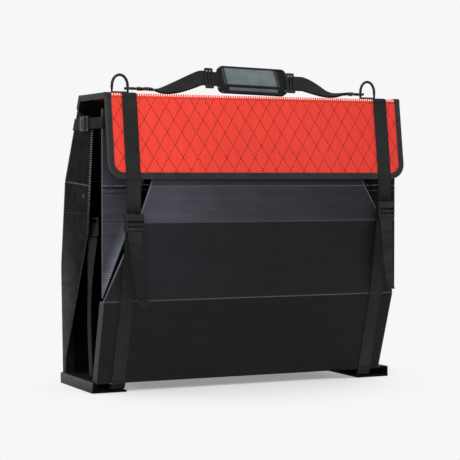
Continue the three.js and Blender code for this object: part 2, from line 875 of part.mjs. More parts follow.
// Webbing threaded through the lock: behind the top bar, out over the middle bar
function strapWrap({ name, sign }) {
  const { y, z } = lockFrame(name);
  const backFace = y + strapSeat;
  const frontFace = y - lock.thickness - strapSeat;
  const slotTop = lockHeight - lock.topBar;
  const slotLow = slotTop - lock.upperSlot;
  const inset = 2 * webbing.thickness;
  const past = beyondLoop(y);
  const line = [
    flat(backFace, z + lockHeight - clearance),
    flat(backFace, z + slotTop - clearance),
    flat(frontFace, z + slotLow + inset / 2),
    flat(frontFace, z + slotLow - lock.middleBar / 2),
    flat(past, z + lock.bar + loopRadius),
    flat(past, z + lock.bar / 2),
  ];
  place(model, `strap_wrap_${name}`, uprightStrap(line, sign * strapPlace), strapWeave);
}

function strapTail({ name, sign }) {
  const { y, z } = lockFrame(name);
  const start = z + lock.bar / 2 - tail.gap;
  const drift = tail[`${name}Drift`];
  const path = tailShares.map((share) => point(
    sign * strapPlace + drift * share.drift,
    beyondLoop(y) + tail.sway * share.sway,
    start - tail.length * share.drop,
  ));
  const strap = band(path, webbing.width, webbing.thickness, point(1, 0, 0));
  place(model, `strap_tail_${name}`, strap, strapWeave);
}

ends.forEach(flapStrap);
ends.forEach(topStrap);
ends.forEach(lowerStrap);
ends.forEach(ladderLock);
ends.forEach(strapWrap);
ends.forEach(strapTail);

// The short strap across each end of the case, with its side-release buckle

function endStrapFront({ name, sign }) {
  const z = endStrap.height;
  const face = halfCase + strapSeat;
  const onCorner = cornerFace - strapSeat;
  const buckleAxis = halfCase + clearance + buckle.thickness / 2;
  const path = [
    point(sign * (halfCase - endStrap.reach), onCorner, z),
    point(sign * face, onCorner, z),
    point(sign * face, buckle.start - buckle.plugBase, z),
    point(sign * buckleAxis, buckle.start - clearance, z),
  ];
  const strap = band(path, endStrap.width, webbing.thickness, point(0, 0, 1));
  place(model, `end_strap_front_${name}`, strap, strapWeave);
}

// From the buckle's socket round the case's edge and on to the sloping back
function endStrapBack({ name, sign }) {
  const z = endStrap.height;
  const half = endStrap.width / 2;
  const near = buckle.start + buckle.length + clearance;
  const roofAt = (height) => depthAt(backLine, height);
  const onRoof = (clearance + webbing.thickness) / Math.cos(roofLean);
  const outline = new THREE.Shape();
  outline.moveTo(near, z - half);
  outline.lineTo(roofAt(z - half) + onRoof, z - half);
  outline.lineTo(roofAt(z + half) + onRoof, z + half);
  outline.lineTo(near, z + half);
  const low = halfCase + clearance;
  const side = sideways(outline, webbing.thickness, sign > 0 ? low : -low - webbing.thickness);
  const high = half / Math.cos(roofLean);
  const edge = halfCase + webbing.thickness;
  const roofBand = block(
    point(sign > 0 ? edge - endStrap.roofReach : -edge, clearance, -high),
    point(sign > 0 ? edge : endStrap.roofReach - edge, clearance + webbing.thickness, high),
  );
  roofBand.rotateX(roofLean).translate(0, roofAt(z), z);
  place(model, `end_strap_back_${name}`, join(side, roofBand), strapWeave);
}

// The buckle lies flat on the end of the case, its plug towards the front
function sideBuckle({ name, sign }) {
  const b = buckle;
  const z = endStrap.height;
  const half = b.width / 2;
  const end = b.start + b.length;
  const mouth = end - b.socketLength;
  const room = (b.thickness - b.prongThickness) / 2;
  const inner = { low: room - clearance, high: b.thickness - room + clearance };
  const stop = end - b.socketEnd;
  const box = ({ low, high }, from, to, reachDown, reachUp) => {
    const near = halfCase + clearance + low;
    const far = halfCase + clearance + high;
    return block(
      point(sign > 0 ? near : -far, from, z + reachDown),
      point(sign > 0 ? far : -near, to, z + reachUp),
    );
  };
  const full = { low: 0, high: b.thickness };
  const slim = { low: room, high: b.thickness - room };
  const through = { low: -b.wall, high: b.thickness + b.wall };

  const shell = box(full, mouth, end, -half, half);
  const cavity = box(inner, mouth - b.wall, stop, b.wall - half, half - b.wall);
  const windows = box(inner, stop - b.windowLength, stop, -half - b.wall, half + b.wall);
  place(model, `buckle_socket_${name}`, cut(shell, cavity, windows), buckleMoulding);

  const plugEnd = b.start + b.plugBase;
  const plate = box(full, b.start, plugEnd, -half, half);
  const neck = box(slim, plugEnd - b.wall, mouth - clearance, b.wall - half, half - b.wall);
  const tongueHalf = b.tongueWidth / 2;
  const tongue = box(slim, mouth - b.wall, end - b.tongueShort, -tongueHalf, tongueHalf);
  const rim = half - b.plugBar;
  const slot = box(through, b.start + b.plugBar, plugEnd - b.plugBar, -rim, rim);
  place(model, `buckle_plug_${name}`, cut(join(plate, neck, tongue), slot), buckleMoulding);

  const outer = half - b.wall - 2 * clearance;
  const tip = stop - 2 * clearance;
  const inside = outer - b.prongWidth;
  [{ which: 'upper', edge: 1 }, { which: 'lower', edge: -1 }].forEach(({ which, edge }) => {
    const outline = new THREE.Shape();
    outline.moveTo(mouth, z + edge * outer);
    outline.lineTo(tip - b.catchLength, z + edge * outer);
    outline.lineTo(tip - b.catchLength + b.catchRise, z + edge * (outer + b.catchRise));
    outline.lineTo(tip, z + edge * (outer - b.wall));
    outline.lineTo(tip, z + edge * (inside - b.wall));
    outline.lineTo(mouth, z + edge * inside);
    const low = halfCase + clearance + room;
    const prong = sideways(outline, b.prongThickness, sign > 0 ? low : -low - b.prongThickness);
    place(model, `buckle_prong_${which}_${name}`, prong, buckleMoulding);
  });
}

ends.forEach(endStrapFront);
ends.forEach(endStrapBack);
ends.forEach(sideBuckle);

// A deck strap of the boat that hangs inside the open left end, with its clip

function hangingStrap() {
  const h = hanging;
  const x = -halfCase + h.inset;
  const start = h.buckleHeight - clearance;
  const fall = start - floorTop - clearance;
  const path = hangingShares.map(({ drop, bow }) => point(x, h.depth + h.bow * bow, start - fall * drop));
  const buckleTurn = h.buckleAngle * degree;
  const across = hangingShares.map(({ turn }) => point(
    Math.sin(turn * buckleTurn),
    -Math.cos(turn * buckleTurn),
    0,
  ));
  place(model, 'deck_strap', band(path, h.width, h.thickness, across), strapWeave);

  const body = roundedOutline(h.buckleWidth, h.buckleLength, h.buckleThickness / 2);
  const hole = roundedOutline(h.width, h.buckleThickness, h.buckleThickness / 3, THREE.Path);
  const lift = new THREE.Vector2(0, h.buckleLength / 2 - h.buckleThickness);
  body.holes.push(new THREE.Path(hole.getPoints(2).map((p) => p.clone().add(lift))));
  const clip = upright(body, h.buckleThickness, 3).translate(0, -h.buckleThickness / 2, 0);
  clip.rotateZ(buckleTurn - Math.PI / 2).translate(x, h.depth, h.buckleHeight + h.buckleLength / 2);
  place(model, 'deck_clip', clip, buckleMoulding);
}
hangingStrap();

// D-rings on the top straps, and the snap hooks that hold the shoulder strap

function arch(width, height, legs, steps) {
  const radius = width / 2;
  const spots = [flat(-radius, 0), flat(-radius, legs)];
  for (let i = 1; i < steps; i += 1) {
    const turn = Math.PI - (i * Math.PI) / steps;
    spots.push(flat(Math.cos(turn) * radius, legs + Math.sin(turn) * (height - legs)));
  }
  spots.push(flat(radius, legs), flat(radius, 0));
  return spots;
}

const ringBarHeight = caseHeight + clearance + dRing.wire / 2;

function dRingPart({ name, sign }) {
  const span = dRing.width - dRing.wire;
  const path = arch(span, dRing.height - dRing.wire, dRing.legs, arcSteps + 2)
    .map((spot) => point(spot.x, 0, spot.y));
  const ring = wire(path, dRing.wire / 2, point(0, 1, 0), true);
  ring.translate(sign * strapPlace, -dRing.depth, ringBarHeight);
  place(model, `d_ring_${name}`, ring, buckleMoulding);
}

// A trigger snap hook round the ring's inboard leg. Drawn with its bow at the origin and its
// shank towards +X, then turned to face the ring.
const legInset = (dRing.width - dRing.wire) / 2;
const throatSeat = hook.throatRadius - dRing.wire / 2 - 2 * clearance;
const bowPlace = strapPlace - legInset - throatSeat;
const hookHeight = ringBarHeight + hook.height;

function annulus(outer, inner, thickness) {
  const outline = new THREE.Shape();
  outline.absarc(0, 0, outer, 0, 2 * Math.PI);
  const hole = new THREE.Path();
  hole.absarc(0, 0, inner, 0, 2 * Math.PI);
  outline.holes.push(hole);
  const settings = { depth: thickness, bevelEnabled: false, curveSegments: 2 * arcSteps };
  return new THREE.ExtrudeGeometry(outline, settings).translate(0, 0, -thickness / 2);
}

function slab(x0, x1, y0, y1, thickness) {
  return block(point(x0, y0, -thickness / 2), point(x1, y1, thickness / 2));
}

// The gate closes the side of the bow and turns into its throat from its end by the shank
function snapHook({ name, sign }) {
  const h = hook;
  const half = h.shankWidth / 2;
  const gateSide = (h.bowRadius + h.throatRadius) / 2;
  const bow = annulus(h.bowRadius, h.throatRadius, h.thickness);
  const gateEnd = h.gateStart - h.gateLength;
  const mouth = slab(gateEnd, h.gateStart, 0, 2 * h.bowRadius, 2 * h.thickness);
  const shank = slab(h.throatRadius + clearance, h.shankEnd + h.eyeBar / 2, -half, half, h.thickness);
  const eye = slab(h.shankEnd, h.shankEnd + h.eyeDepth, -h.eyeWidth / 2, h.eyeWidth / 2, h.thickness);
  const rim = h.eyeWidth / 2 - h.eyeBar;
  const hole = slab(h.shankEnd + h.eyeBar, h.shankEnd + h.eyeDepth - h.eyeBar, -rim, rim, 2 * h.thickness);
  const body = cut(join(cut(bow, mouth), shank, eye), hole);
  const gate = slab(gateEnd + clearance, h.gateStart - h.gatePlay,
    gateSide - h.gateThickness / 2, gateSide + h.gateThickness / 2, h.thickness - 2 * clearance);
  [[`snap_hook_${name}`, body], [`snap_gate_${name}`, gate]].forEach(([part, geometry]) => {
    geometry.rotateZ(sign > 0 ? Math.PI : 0).translate(sign * bowPlace, -dRing.depth, hookHeight);
    place(model, part, geometry, hookSteel);
  });
}

// The shoulder strap, its doubled returns, the pad and the two adjusters

const padLean = pad.leanAngle * degree;
const padSlope = pad.slopeAngle * degree;
const padCentre = point(
  pad.centre,
  -pad.depth,
  caseHeight + clearance + (pad.height * Math.cos(padLean) + pad.thickness * Math.sin(padLean)) / 2
    + (pad.length / 2) * Math.sin(padSlope),
);
const eyeEnd = bowPlace - hook.shankEnd - hook.eyeDepth - clearance;

const onCarryLine = (along) => padCentre.clone()
  .add(point(along * Math.cos(padSlope), 0, -along * Math.sin(padSlope)));

const widthwise = (twist) => {
  const turn = twist * (Math.PI / 2 - padLean);
  return point(0, Math.cos(turn), Math.sin(turn));
};

const returnOffset = carry.thickness / 2 + clearance + adjuster.thickness / 2;
const adjusterPlace = {
  left: -(pad.length / 2 + adjuster.travel + clearance + adjuster.length / 2),
  right: pad.length / 2 + 2 * clearance + adjuster.length / 2,
};

// The running strap's line from the hook's eye inwards, with the way its width lies
function carryRoute(sign) {
  const eye = point(sign * eyeEnd, -dRing.depth, hookHeight - returnOffset / 2);
  const straight = onCarryLine(sign * carry.straight);
  const stops = carryRouteShares.map(({ along, inward, rise, twist }) => ({
    spot: point(
      eye.x + (straight.x - eye.x) * along,
      eye.y + (straight.y - eye.y) * inward,
      eye.z + (straight.z - eye.z) * rise,
    ),
    twist,
  }));
  const controls = [
    { spot: eye.clone().add(point(-sign * carry.lead, 0, 0)), twist: 0 },
    ...stops,
    { spot: straight, twist: 1 },
    { spot: onCarryLine(sign * (carry.straight - carry.settle)), twist: 1 },
  ];
  const line = new THREE.CatmullRomCurve3(controls.map(({ spot }) => spot));
  const turning = new THREE.CatmullRomCurve3(controls.map(({ twist }) => point(twist, 0, 0)));
  turning.curveType = 'catmullrom';
  const curve = Array.from({ length: carrySteps + 1 }, (_, i) => ({
    spot: line.getPoint(i / carrySteps),
    side: widthwise(Math.min(Math.max(turning.getPoint(i / carrySteps).x, 0), 1)),
  }));
  return [{ spot: eye, side: widthwise(0) }, ...curve];
}

function shoulderStrap() {
  const route = [...carryRoute(-1), ...carryRoute(1).reverse()];
  const path = route.map(({ spot }) => spot);
  const sides = route.map(({ side }) => side);
  place(model, 'shoulder_strap', band(path, carry.width, carry.thickness, sides), strapWeave);
}

// From each hook's eye the strap doubles back, over itself, to the adjuster
function strapReturn({ name, sign }) {
  const stop = adjusterPlace[name] + sign * (adjuster.length / 2 + clearance);
  const inwards = [...carryRoute(sign), { spot: onCarryLine(stop), side: widthwise(1) }];
  const route = sign < 0 ? inwards : inwards.reverse();
  const path = route.map(({ spot, side }, i) => {
    const before = route[Math.max(i - 1, 0)].spot;
    const after = route[Math.min(i + 1, route.length - 1)].spot;
    const face = after.clone().sub(before).cross(side).normalize();
    return spot.clone().addScaledVector(face, returnOffset);
  });
  const sides = route.map(({ side }) => side);
  place(model, `strap_return_${name}`, band(path, carry.width, carry.thickness, sides), strapWeave);
}

const carryFrame = new THREE.Group();
carryFrame.position.copy(padCentre);
carryFrame.rotation.set(-padLean, padSlope, 0, 'YXZ');
model.add(carryFrame);

function shoulderPad() {
  const width = pad.length - 2 * pad.crown;
  const height = pad.height - 2 * pad.crown;
  const settings = {
    depth: pad.thickness - 2 * pad.crown,
    bevelThickness: pad.crown,
    bevelSize: pad.crown,
    bevelSegments: 3,
    curveSegments: arcSteps,
  };
  const cushion = new THREE.ExtrudeGeometry(roundedOutline(width, height, pad.corner), settings);
  cushion.translate(0, 0, pad.crown - pad.thickness / 2).rotateX(Math.PI / 2);
  const sleeve = block(
    point(-pad.length, -pad.sleeveGap / 2, -pad.sleeveHeight / 2),
    point(pad.length, pad.sleeveGap / 2, pad.sleeveHeight / 2),
  );
  place(carryFrame, 'shoulder_pad', cut(cushion, sleeve), padCloth);
}

function strapAdjuster({ name }) {
  const a = adjuster;
  const outline = roundedOutline(a.length, a.width, a.bar / 2);
  const gap = (a.length - 3 * a.bar) / 2;
  [-1, 1].forEach((edge) => {
    const hole = roundedOutline(gap, a.width - 2 * a.bar, gap / 3, THREE.Path);
    const centre = new THREE.Vector2((edge * (a.bar + gap)) / 2, 0);
    outline.holes.push(new THREE.Path(hole.getPoints(2).map((p) => p.clone().add(centre))));
  });
  const frame = upright(outline, a.thickness, 2);
  frame.translate(adjusterPlace[name], -carry.thickness / 2 - clearance - a.thickness, 0);
  place(carryFrame, `strap_adjuster_${name}`, frame, buckleMoulding);
}

ends.forEach(dRingPart);
ends.forEach(snapHook);
shoulderStrap();
ends.forEach(strapReturn);
shoulderPad();
ends.forEach(strapAdjuster);

model.updateMatrixWorld(true);
const bounds = new THREE.Box3().setFromObject(model, true);
model.position.y = -(bounds.min.y + bounds.max.y) / 2;

export default model;
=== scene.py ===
"""A folding kayak, folded into its strapped carrying case.

Lengths are in metres. The case's long side runs along X, its front faces -Y and it stands on Z 0.
"""

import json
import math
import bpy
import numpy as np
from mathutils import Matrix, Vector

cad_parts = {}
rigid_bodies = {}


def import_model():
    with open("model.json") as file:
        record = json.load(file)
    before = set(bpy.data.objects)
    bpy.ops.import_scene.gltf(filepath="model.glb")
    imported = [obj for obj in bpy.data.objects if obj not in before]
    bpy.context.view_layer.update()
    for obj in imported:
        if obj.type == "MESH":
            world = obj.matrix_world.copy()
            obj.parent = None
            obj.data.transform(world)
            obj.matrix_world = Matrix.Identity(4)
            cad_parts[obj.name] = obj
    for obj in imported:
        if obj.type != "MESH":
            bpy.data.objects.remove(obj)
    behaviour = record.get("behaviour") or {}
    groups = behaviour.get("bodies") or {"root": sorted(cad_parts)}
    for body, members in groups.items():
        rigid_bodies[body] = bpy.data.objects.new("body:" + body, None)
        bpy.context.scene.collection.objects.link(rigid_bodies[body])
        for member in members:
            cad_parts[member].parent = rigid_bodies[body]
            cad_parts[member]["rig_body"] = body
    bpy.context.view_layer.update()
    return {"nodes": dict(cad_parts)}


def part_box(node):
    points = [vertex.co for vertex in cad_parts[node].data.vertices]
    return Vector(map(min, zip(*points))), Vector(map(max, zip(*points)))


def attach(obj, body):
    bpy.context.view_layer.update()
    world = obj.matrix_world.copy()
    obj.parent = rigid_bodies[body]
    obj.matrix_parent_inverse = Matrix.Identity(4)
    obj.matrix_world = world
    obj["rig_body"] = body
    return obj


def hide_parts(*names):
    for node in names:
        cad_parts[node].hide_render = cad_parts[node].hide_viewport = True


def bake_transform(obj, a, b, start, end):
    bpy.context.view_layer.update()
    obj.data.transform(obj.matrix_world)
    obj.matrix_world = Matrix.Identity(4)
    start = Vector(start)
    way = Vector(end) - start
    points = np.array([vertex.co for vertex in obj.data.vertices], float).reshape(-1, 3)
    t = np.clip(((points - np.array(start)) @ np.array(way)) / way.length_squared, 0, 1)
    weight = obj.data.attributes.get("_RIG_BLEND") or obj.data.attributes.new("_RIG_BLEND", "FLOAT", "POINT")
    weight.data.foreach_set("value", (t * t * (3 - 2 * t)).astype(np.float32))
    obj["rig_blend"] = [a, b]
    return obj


bl_info = {
    "name": "Folded Kayak Case",
    "version": (1, 0, 0),
    "blender": (4, 5, 0),
    "location": "3D View > Sidebar > Kayak",
    "description": "Twin-wall sheet, webbing, buckles and pad of a folded kayak",
    "category": "Object",
}

import bmesh
import bpy
from bpy.props import FloatProperty, FloatVectorProperty, PointerProperty
from mathutils import Matrix, Vector
from mathutils.geometry import intersect_plane_plane

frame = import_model()

MM = 0.001
ENDS = {"left": -1, "right": 1}

# The case: half its length, the heights of the front's folds from the floor up to the lid, how far
# in from each end the diagonal folds lie there (left, right), the heights of the other panels'
# folds, and where the front's knee stands and how far it leans in below
HALF_CASE = 0.409
FOLD_HEIGHTS = (0.022, 0.228, 0.42, 0.509, 0.7325)
FOLD_INSETS = ((0.002, 0.000, 0.078, 0.109, 0.169), (0.017, 0.009, 0.06, 0.114, 0.169))
INNER_FOLDS = (0.222, 0.44)
BACK_FOLDS = (0.3, 0.519)
END_FOLD = 0.511
KNEE_DEPTH, FRONT_LEAN = 0.1292, 0.2913

# Rivets: Y and Z on the end strips, X and the heights on the right corner
STRIP_RIVET = (0.0084, 0.483)
CORNER_RIVETS = (0.322, (0.502, 0.5125))

# The lid: how far the flap leans and reaches, and the width and thickness of what bends
FLAP_LEAN, FLAP_REACH = -7.9, 0.2095
CREASE_HEIGHT, CREASE_REACH = 0.715, 10.5 * MM
BOARD_SKIN, TAPE_SKIN = (787 * MM, 0.5 * MM), (14.6 * MM, 1 * MM)
TAPE_MIDDLE = 401.5 * MM

# Webbing: width and thickness, the end strap's height, a loose end's hem with its two rows of
# stitches, and how far a bending stretch reaches over the straps that it joins
STRAP, CARRY = (38 * MM, 2 * MM), (38 * MM, 2.4 * MM)
END_STRAP, DECK_STRAP = (28 * MM, 2 * MM), (25 * MM, 1.8 * MM)
END_STRAP_HEIGHT = 0.662
HEM, HEM_STITCHES = 19 * MM, (167 * MM, 183 * MM)
FOLD_GRIP = 8 * MM

# The pad's panel and stripe: length, height, and the middle's place above the pad's
PANEL = (138 * MM, 45 * MM, 8.6 * MM)
STRIPE = (134 * MM, 7.8 * MM, -24.5 * MM)


# Settings that a user would change


def number(name, description, value, **more):
    return FloatProperty(name=name, description=description, default=value, **more)


def length(name, description, millimetres):
    return number(name, description, millimetres * MM, unit="LENGTH", precision=4)


def turn(name, description, degrees):
    return number(name, description, math.radians(degrees), subtype="ANGLE")


def vector(name, description, *value, **more):
    return FloatVectorProperty(name=name, description=description, default=value, **more)


def colour(name, description, *value):
    return vector(name, description, *value, subtype="COLOR", min=0, max=1)


class KayakStageSettings(bpy.types.PropertyGroup):
    """Camera, floor and lamps."""

    azimuth: turn("Azimuth", "How far the camera stands round to the case's left end", -25)
    height_angle: turn("Height angle", "How far the camera stands above the level", 1.876)
    distance: length("Distance", "From the camera to the point it looks at", 4115.7)
    target: vector("Target", "What the camera looks at", -0.0015, 0.0208, 0.3929, subtype="XYZ")
    lens: number("Lens", "Focal length on a 36 mm sensor", 123.6)
    background: number("Background", "Brightness behind the case", 0.93, subtype="FACTOR")
    floor_radius: length("Floor radius", "Reach of the floor", 14000)
    floor_tone: number("Floor tone", "How pale the floor is", 0.97, subtype="FACTOR")
    floor_glow: number("Floor glow", "Share of plain background in the floor by the case", 0.3,
                       subtype="FACTOR")
    near_floor: length("Near floor", "How far round the case the lamps light the floor", 220)
    far_floor: length("Far floor", "Where the floor has become the plain background", 620)
    ambient: number("Ambient", "Light from all round", 0.4)
    key: number("Key", "Strength of the broad light from the upper left front", 1.6)
    top: number("Top", "Strength of the light from above", 0.9)


class KayakSheetSettings(bpy.types.PropertyGroup):
    """Twin-wall sheet of the hull."""

    flute: length("Flute", "Distance between the sheet's inner walls", 5.6)
    # One black sheet: these tones are its lit and shaded copies, painted light and shade by panel. The upper
    # strip and the left corner are painted sheen, the belly, the knee, the end strips and the inner sections
    # are painted darker as shade, and the olive is painted light on the end strips and feet
    upper: colour("Upper tone", "The hull's bluish upper strip", 0.041, 0.042, 0.053)
    corner: colour("Corner tone", "The fold behind the front's left end", 0.044, 0.046, 0.059)
    middle: colour("Middle tone", "The hull's belly", 0.0095, 0.0098, 0.0122)
    lower: colour("Lower tone", "The hull below its knee", 0.006, 0.0064, 0.0064)
    end: colour("End tone", "The strips that close the case's ends", 0.0024, 0.0028, 0.0023)
    olive: colour("Olive tone", "Where light falls through the sheet", 0.068, 0.079, 0.066)
    inner: colour("Inner tone", "The folded sections inside", 0.0018, 0.0019, 0.002)
    crease: colour("Crease", "Whitened plastic of the folds", 0.105, 0.11, 0.113)
    edge: colour("Cut edge", "Whitened cut edges of the sheet", 0.4, 0.41, 0.43)
    foot_round: length("Foot rounding", "Rounding of the feet's folded edges", 1.6)
    rivet: length("Rivet", "Radius of a rivet's head", 5.2)
    rivet_tone: colour("Rivet tone", "Moulded rivets", 0.05, 0.05, 0.053)


class KayakLidSettings(bpy.types.PropertyGroup):
    """Red floorboard that makes the lid."""

    flute: length("Flute", "Distance between the board's inner walls", 6.1)
    red: colour("Red", "The board's colour", 0.84, 0.061, 0.042)
    edge: colour("Cut edge", "Pale cut walls at the fold", 0.98, 0.88, 0.86)
    mark: colour("Dots", "Small printed dots", 0.045, 0.01, 0.009)
    mark_size: length("Dot size", "Radius of one printed dot", 1.5)
    mark_step: length("Dot step", "Distance between dots along a row", 6.4)
    lattice: length("Lattice", "Distance between rows of the diamond lattice", 33)
    slant: turn("Slant", "How far the rows of dots lean", 32)


class KayakTapeSettings(bpy.types.PropertyGroup):
    """Binding tape round the lid's boards."""

    round: length("Rounding", "Rounding of the folded tape", 1.1)
    width: length("Width", "From the fold to the tape's inner edge", 15)
    corner: length("Corner", "Radius of the flap's lower corners", 40)
    tone: colour("Tone", "The tape's colour", 0.012, 0.0128, 0.013)
    # The worn tone is the tape's wear, and along its outer fold a painted highlight
    worn: colour("Worn tone", "The tape's outer fold", 0.052, 0.055, 0.058)


class KayakWebbingSettings(bpy.types.PropertyGroup):
    """Woven straps."""

    rib: length("Rib", "Distance between the weave's ribs", 1.7)
    yarn: length("Yarn", "Width of one yarn", 1.3)
    tone: colour("Tone", "The webbing's colour", 0.0105, 0.0112, 0.011)
    worn: colour("Worn tone", "Tops of the worn ribs", 0.034, 0.036, 0.035)
    curl: turn("Curl", "How far the loose ends turn on edge", 32)


class KayakMouldingSettings(bpy.types.PropertyGroup):
    """Moulded and metal fittings."""

    round: length("Rounding", "Rounding of the moulded edges", 0.9)
    hook_round: length("Hook rounding", "Rounding of the cast hooks", 2.1)
    plastic: colour("Plastic", "Moulded fittings", 0.0055, 0.0058, 0.006)
    olive: colour("Buckle plastic", "Side-release buckles", 0.024, 0.0265, 0.022)
    steel: colour("Steel", "Snap hooks and their gates", 0.11, 0.115, 0.12)


class KayakPadSettings(bpy.types.PropertyGroup):
    """Shoulder pad and stowed seat."""

    centre: vector("Centre", "Middle of the pad", -0.009, -0.1262, 0.771, subtype="XYZ")
    width: length("Length", "The pad's length", 190)
    height: length("Height", "The pad's height", 69)
    depth: length("Thickness", "The pad's thickness", 16)
    corner: length("Corner", "Radius of the pad's corners", 13)
    lean: turn("Lean", "How far the pad's top leans back", -15)
    slope: turn("Slope", "How far the pad dips towards its right end", 1.7)
    cloth: colour("Cloth", "Black mesh cloth", 0.01, 0.011, 0.012)
    panel: colour("Panel", "Grey front panel", 0.15, 0.182, 0.184)
    stripe: colour("Stripe", "Dull reflective stripe", 0.115, 0.105, 0.145)
    piping: length("Piping", "Radius of the sewn rim", 1.7)
    swell: length("Swell", "How far the stuffing may push the cloth", 3)
    voxel: length("Cloth grid", "Grid of the pad's cloth", 4)
    seat_swell: length("Seat swell", "How far the seat's foam may swell", 2)
    seat_voxel: length("Seat grid", "Grid of the seat's cloth", 8)


# Shader sums


def maths(operation, swapped=False):
    """A method that joins its value and others by a Math node."""
    def method(self, *others):
        values = (*others, self) if swapped else (self, *others)
        return self.tree.node("ShaderNodeMath", {"operation": operation}, dict(enumerate(values)))
    return method


class Wire:
    """An output socket that adds, multiplies and compares."""

    def __init__(self, tree, socket):
        self.tree, self.socket = tree, socket

    __add__ = __radd__ = maths("ADD")
    __sub__, __rsub__ = maths("SUBTRACT"), maths("SUBTRACT", True)
    __mul__ = __rmul__ = maths("MULTIPLY")
    __pow__, __abs__ = maths("POWER"), maths("ABSOLUTE")
    __gt__, __lt__ = maths("GREATER_THAN"), maths("LESS_THAN")
    least, most = maths("MINIMUM"), maths("MAXIMUM")
    sine, root = maths("SINE"), maths("SQRT")
    fold = maths("PINGPONG")  # runs from 0 up to a span and back again

    def __neg__(self):
        return self * -1.0

    def ease(self, low, high, start=0.0, end=1.0, course="SMOOTHSTEP"):
        """A smooth rise from start to end as this runs from low to high."""
        return self.tree.node("ShaderNodeMapRange", {"interpolation_type": course}, {
            "Value": self, "From Min": low, "From Max": high, "To Min": start, "To Max": end})

    def ramp(self, low, high, start=0.0, end=1.0):
        """A straight rise from start to end as this runs from low to high."""
        return self.ease(low, high, start, end, "LINEAR")

    def near(self, middle, reach):
        """1 at the middle, fading to 0 at the reach on either side."""
        return abs(self - middle).ease(0, reach, 1, 0)

    def swing(self, step):
        """A wave that crosses 0 at each multiple of a step."""
        return (self * (math.pi / step)).sine()

    def ribs(self, step):
        """0 at each multiple of a step, and 1 halfway between."""
        return abs(self.swing(step))


class Tree:
    """Shader nodes under construction."""

    def __init__(self, nodes):
        self.tree = nodes
        self.tree.nodes.clear()

    def node(self, kind, settings=None, inputs=None, output=0):
        made = self.tree.nodes.new(kind)
        for key, value in (settings or {}).items():
            setattr(made, key, value)
        for key, value in (inputs or {}).items():
            self.join(value, made.inputs[key])
        return Wire(self, made.outputs[output])

    def join(self, value, socket):
        if isinstance(value, Wire):
            self.tree.links.new(value.socket, socket)
        elif socket.type == "RGBA" and len(value) == 3:
            socket.default_value = (*value, 1)
        else:
            socket.default_value = value

    def seen(self):
        """1 for rays of the camera, of mirrors and of clear things."""
        camera, glossy, clear = (self.node("ShaderNodeLightPath", output=f"Is {ray} Ray")
                                 for ray in ("Camera", "Glossy", "Transmission"))
        return camera.most(glossy).most(clear)


class Paint(Tree):
    """A material under construction."""

    def __init__(self, name, gloss, metal=0.0):
        self.material = bpy.data.materials.new(name)
        self.material.use_nodes = True
        super().__init__(self.material.node_tree)
        self.output = self.tree.nodes.new("ShaderNodeOutputMaterial")
        self.shader = self.tree.nodes.new("ShaderNodeBsdfPrincipled")
        self.tree.links.new(self.shader.outputs[0], self.output.inputs["Surface"])
        self.set("Specular IOR Level", gloss)
        self.set("Metallic", metal)

    def set(self, socket, value):
        self.join(value, self.shader.inputs[socket])

    def coat(self, tone, roughness, height, distance, strength):
        """Sets the colour, the roughness and a relief."""
        self.set("Base Color", tone)
        self.set("Roughness", roughness)
        self.set("Normal", self.node("ShaderNodeBump", inputs={
            "Height": height, "Distance": distance, "Strength": strength}))
        return self

    def point(self):
        return self.node("ShaderNodeTexCoord", output="Object")

    def place(self, matrix=None):
        """X, Y and Z of a point of the piece, or of its frame where a matrix gives one."""
        spot = self.point()
        if matrix is not None:
            back = matrix.inverted()
            spot = self.node("ShaderNodeMapping", {"vector_type": "POINT"}, {
                "Vector": spot, "Location": back.to_translation(), "Rotation": back.to_euler()})
        return self.parts(spot)

    def facing(self):
        """X, Y and Z of the way the surface faces."""
        return self.parts(self.node("ShaderNodeTexCoord", output="Normal"))

    def weave(self):
        """Along and across a strap, in metres."""
        return self.parts(self.node("ShaderNodeUVMap", {"uv_map": "weave"}))[:2]

    def parts(self, vector):
        made = self.node("ShaderNodeSeparateXYZ", inputs={0: vector}).socket.node
        return [Wire(self, out) for out in made.outputs]

    def spot(self, x, y, z=0.0):
        return self.node("ShaderNodeCombineXYZ", inputs={"X": x, "Y": y, "Z": z})

    def noise(self, scale, detail, roughness=0.5, at=None):
        return self.node("ShaderNodeTexNoise", inputs={
            "Vector": at or self.point(), "Scale": scale, "Detail": detail, "Roughness": roughness})

    def blots(self, scale, detail, start=0.0, end=1.0, roughness=0.5, at=None):
        """Soft blots that run from start to end."""
        return self.noise(scale, detail, roughness, at).ease(0.3, 0.7, start, end)

    def mix(self, factor, low, high, blend="MIX"):
        return self.node("ShaderNodeMix", {"data_type": "RGBA", "blend_type": blend},
                         {0: factor, 6: low, 7: high}, output=2)

    def shade(self, tone, strength):
        """A colour times a number."""
        both = self.node("ShaderNodeCombineColor", inputs=dict.fromkeys(range(3), strength))
        return self.mix(1.0, tone, both, "MULTIPLY")


# Shapes


def cad(node):
    return frame["nodes"][node]


def wear(piece, paint):
    piece.data.materials.clear()
    piece.data.materials.append(paint.material)


def finished(name, shape, body, paint, nodes=(), smooth=False):
    """A bmesh as an object that rides on a body and stands for CAD nodes."""
    bmesh.ops.recalc_face_normals(shape, faces=shape.faces)
    mesh = bpy.data.meshes.new(name)
    shape.to_mesh(mesh)
    shape.free()
    piece = bpy.data.objects.new(name, mesh)
    bpy.context.scene.collection.objects.link(piece)
    if smooth:
        mesh.shade_smooth()
        mesh.set_sharp_from_angle(angle=math.radians(38))
    wear(piece, paint)
    if body:
        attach(piece, body)
    if nodes:
        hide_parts(*nodes)
    return piece


def merged(node):
    shape = bmesh.new()
    shape.from_mesh(cad(node).data)
    bmesh.ops.remove_doubles(shape, verts=shape.verts, dist=2e-6)
    return shape


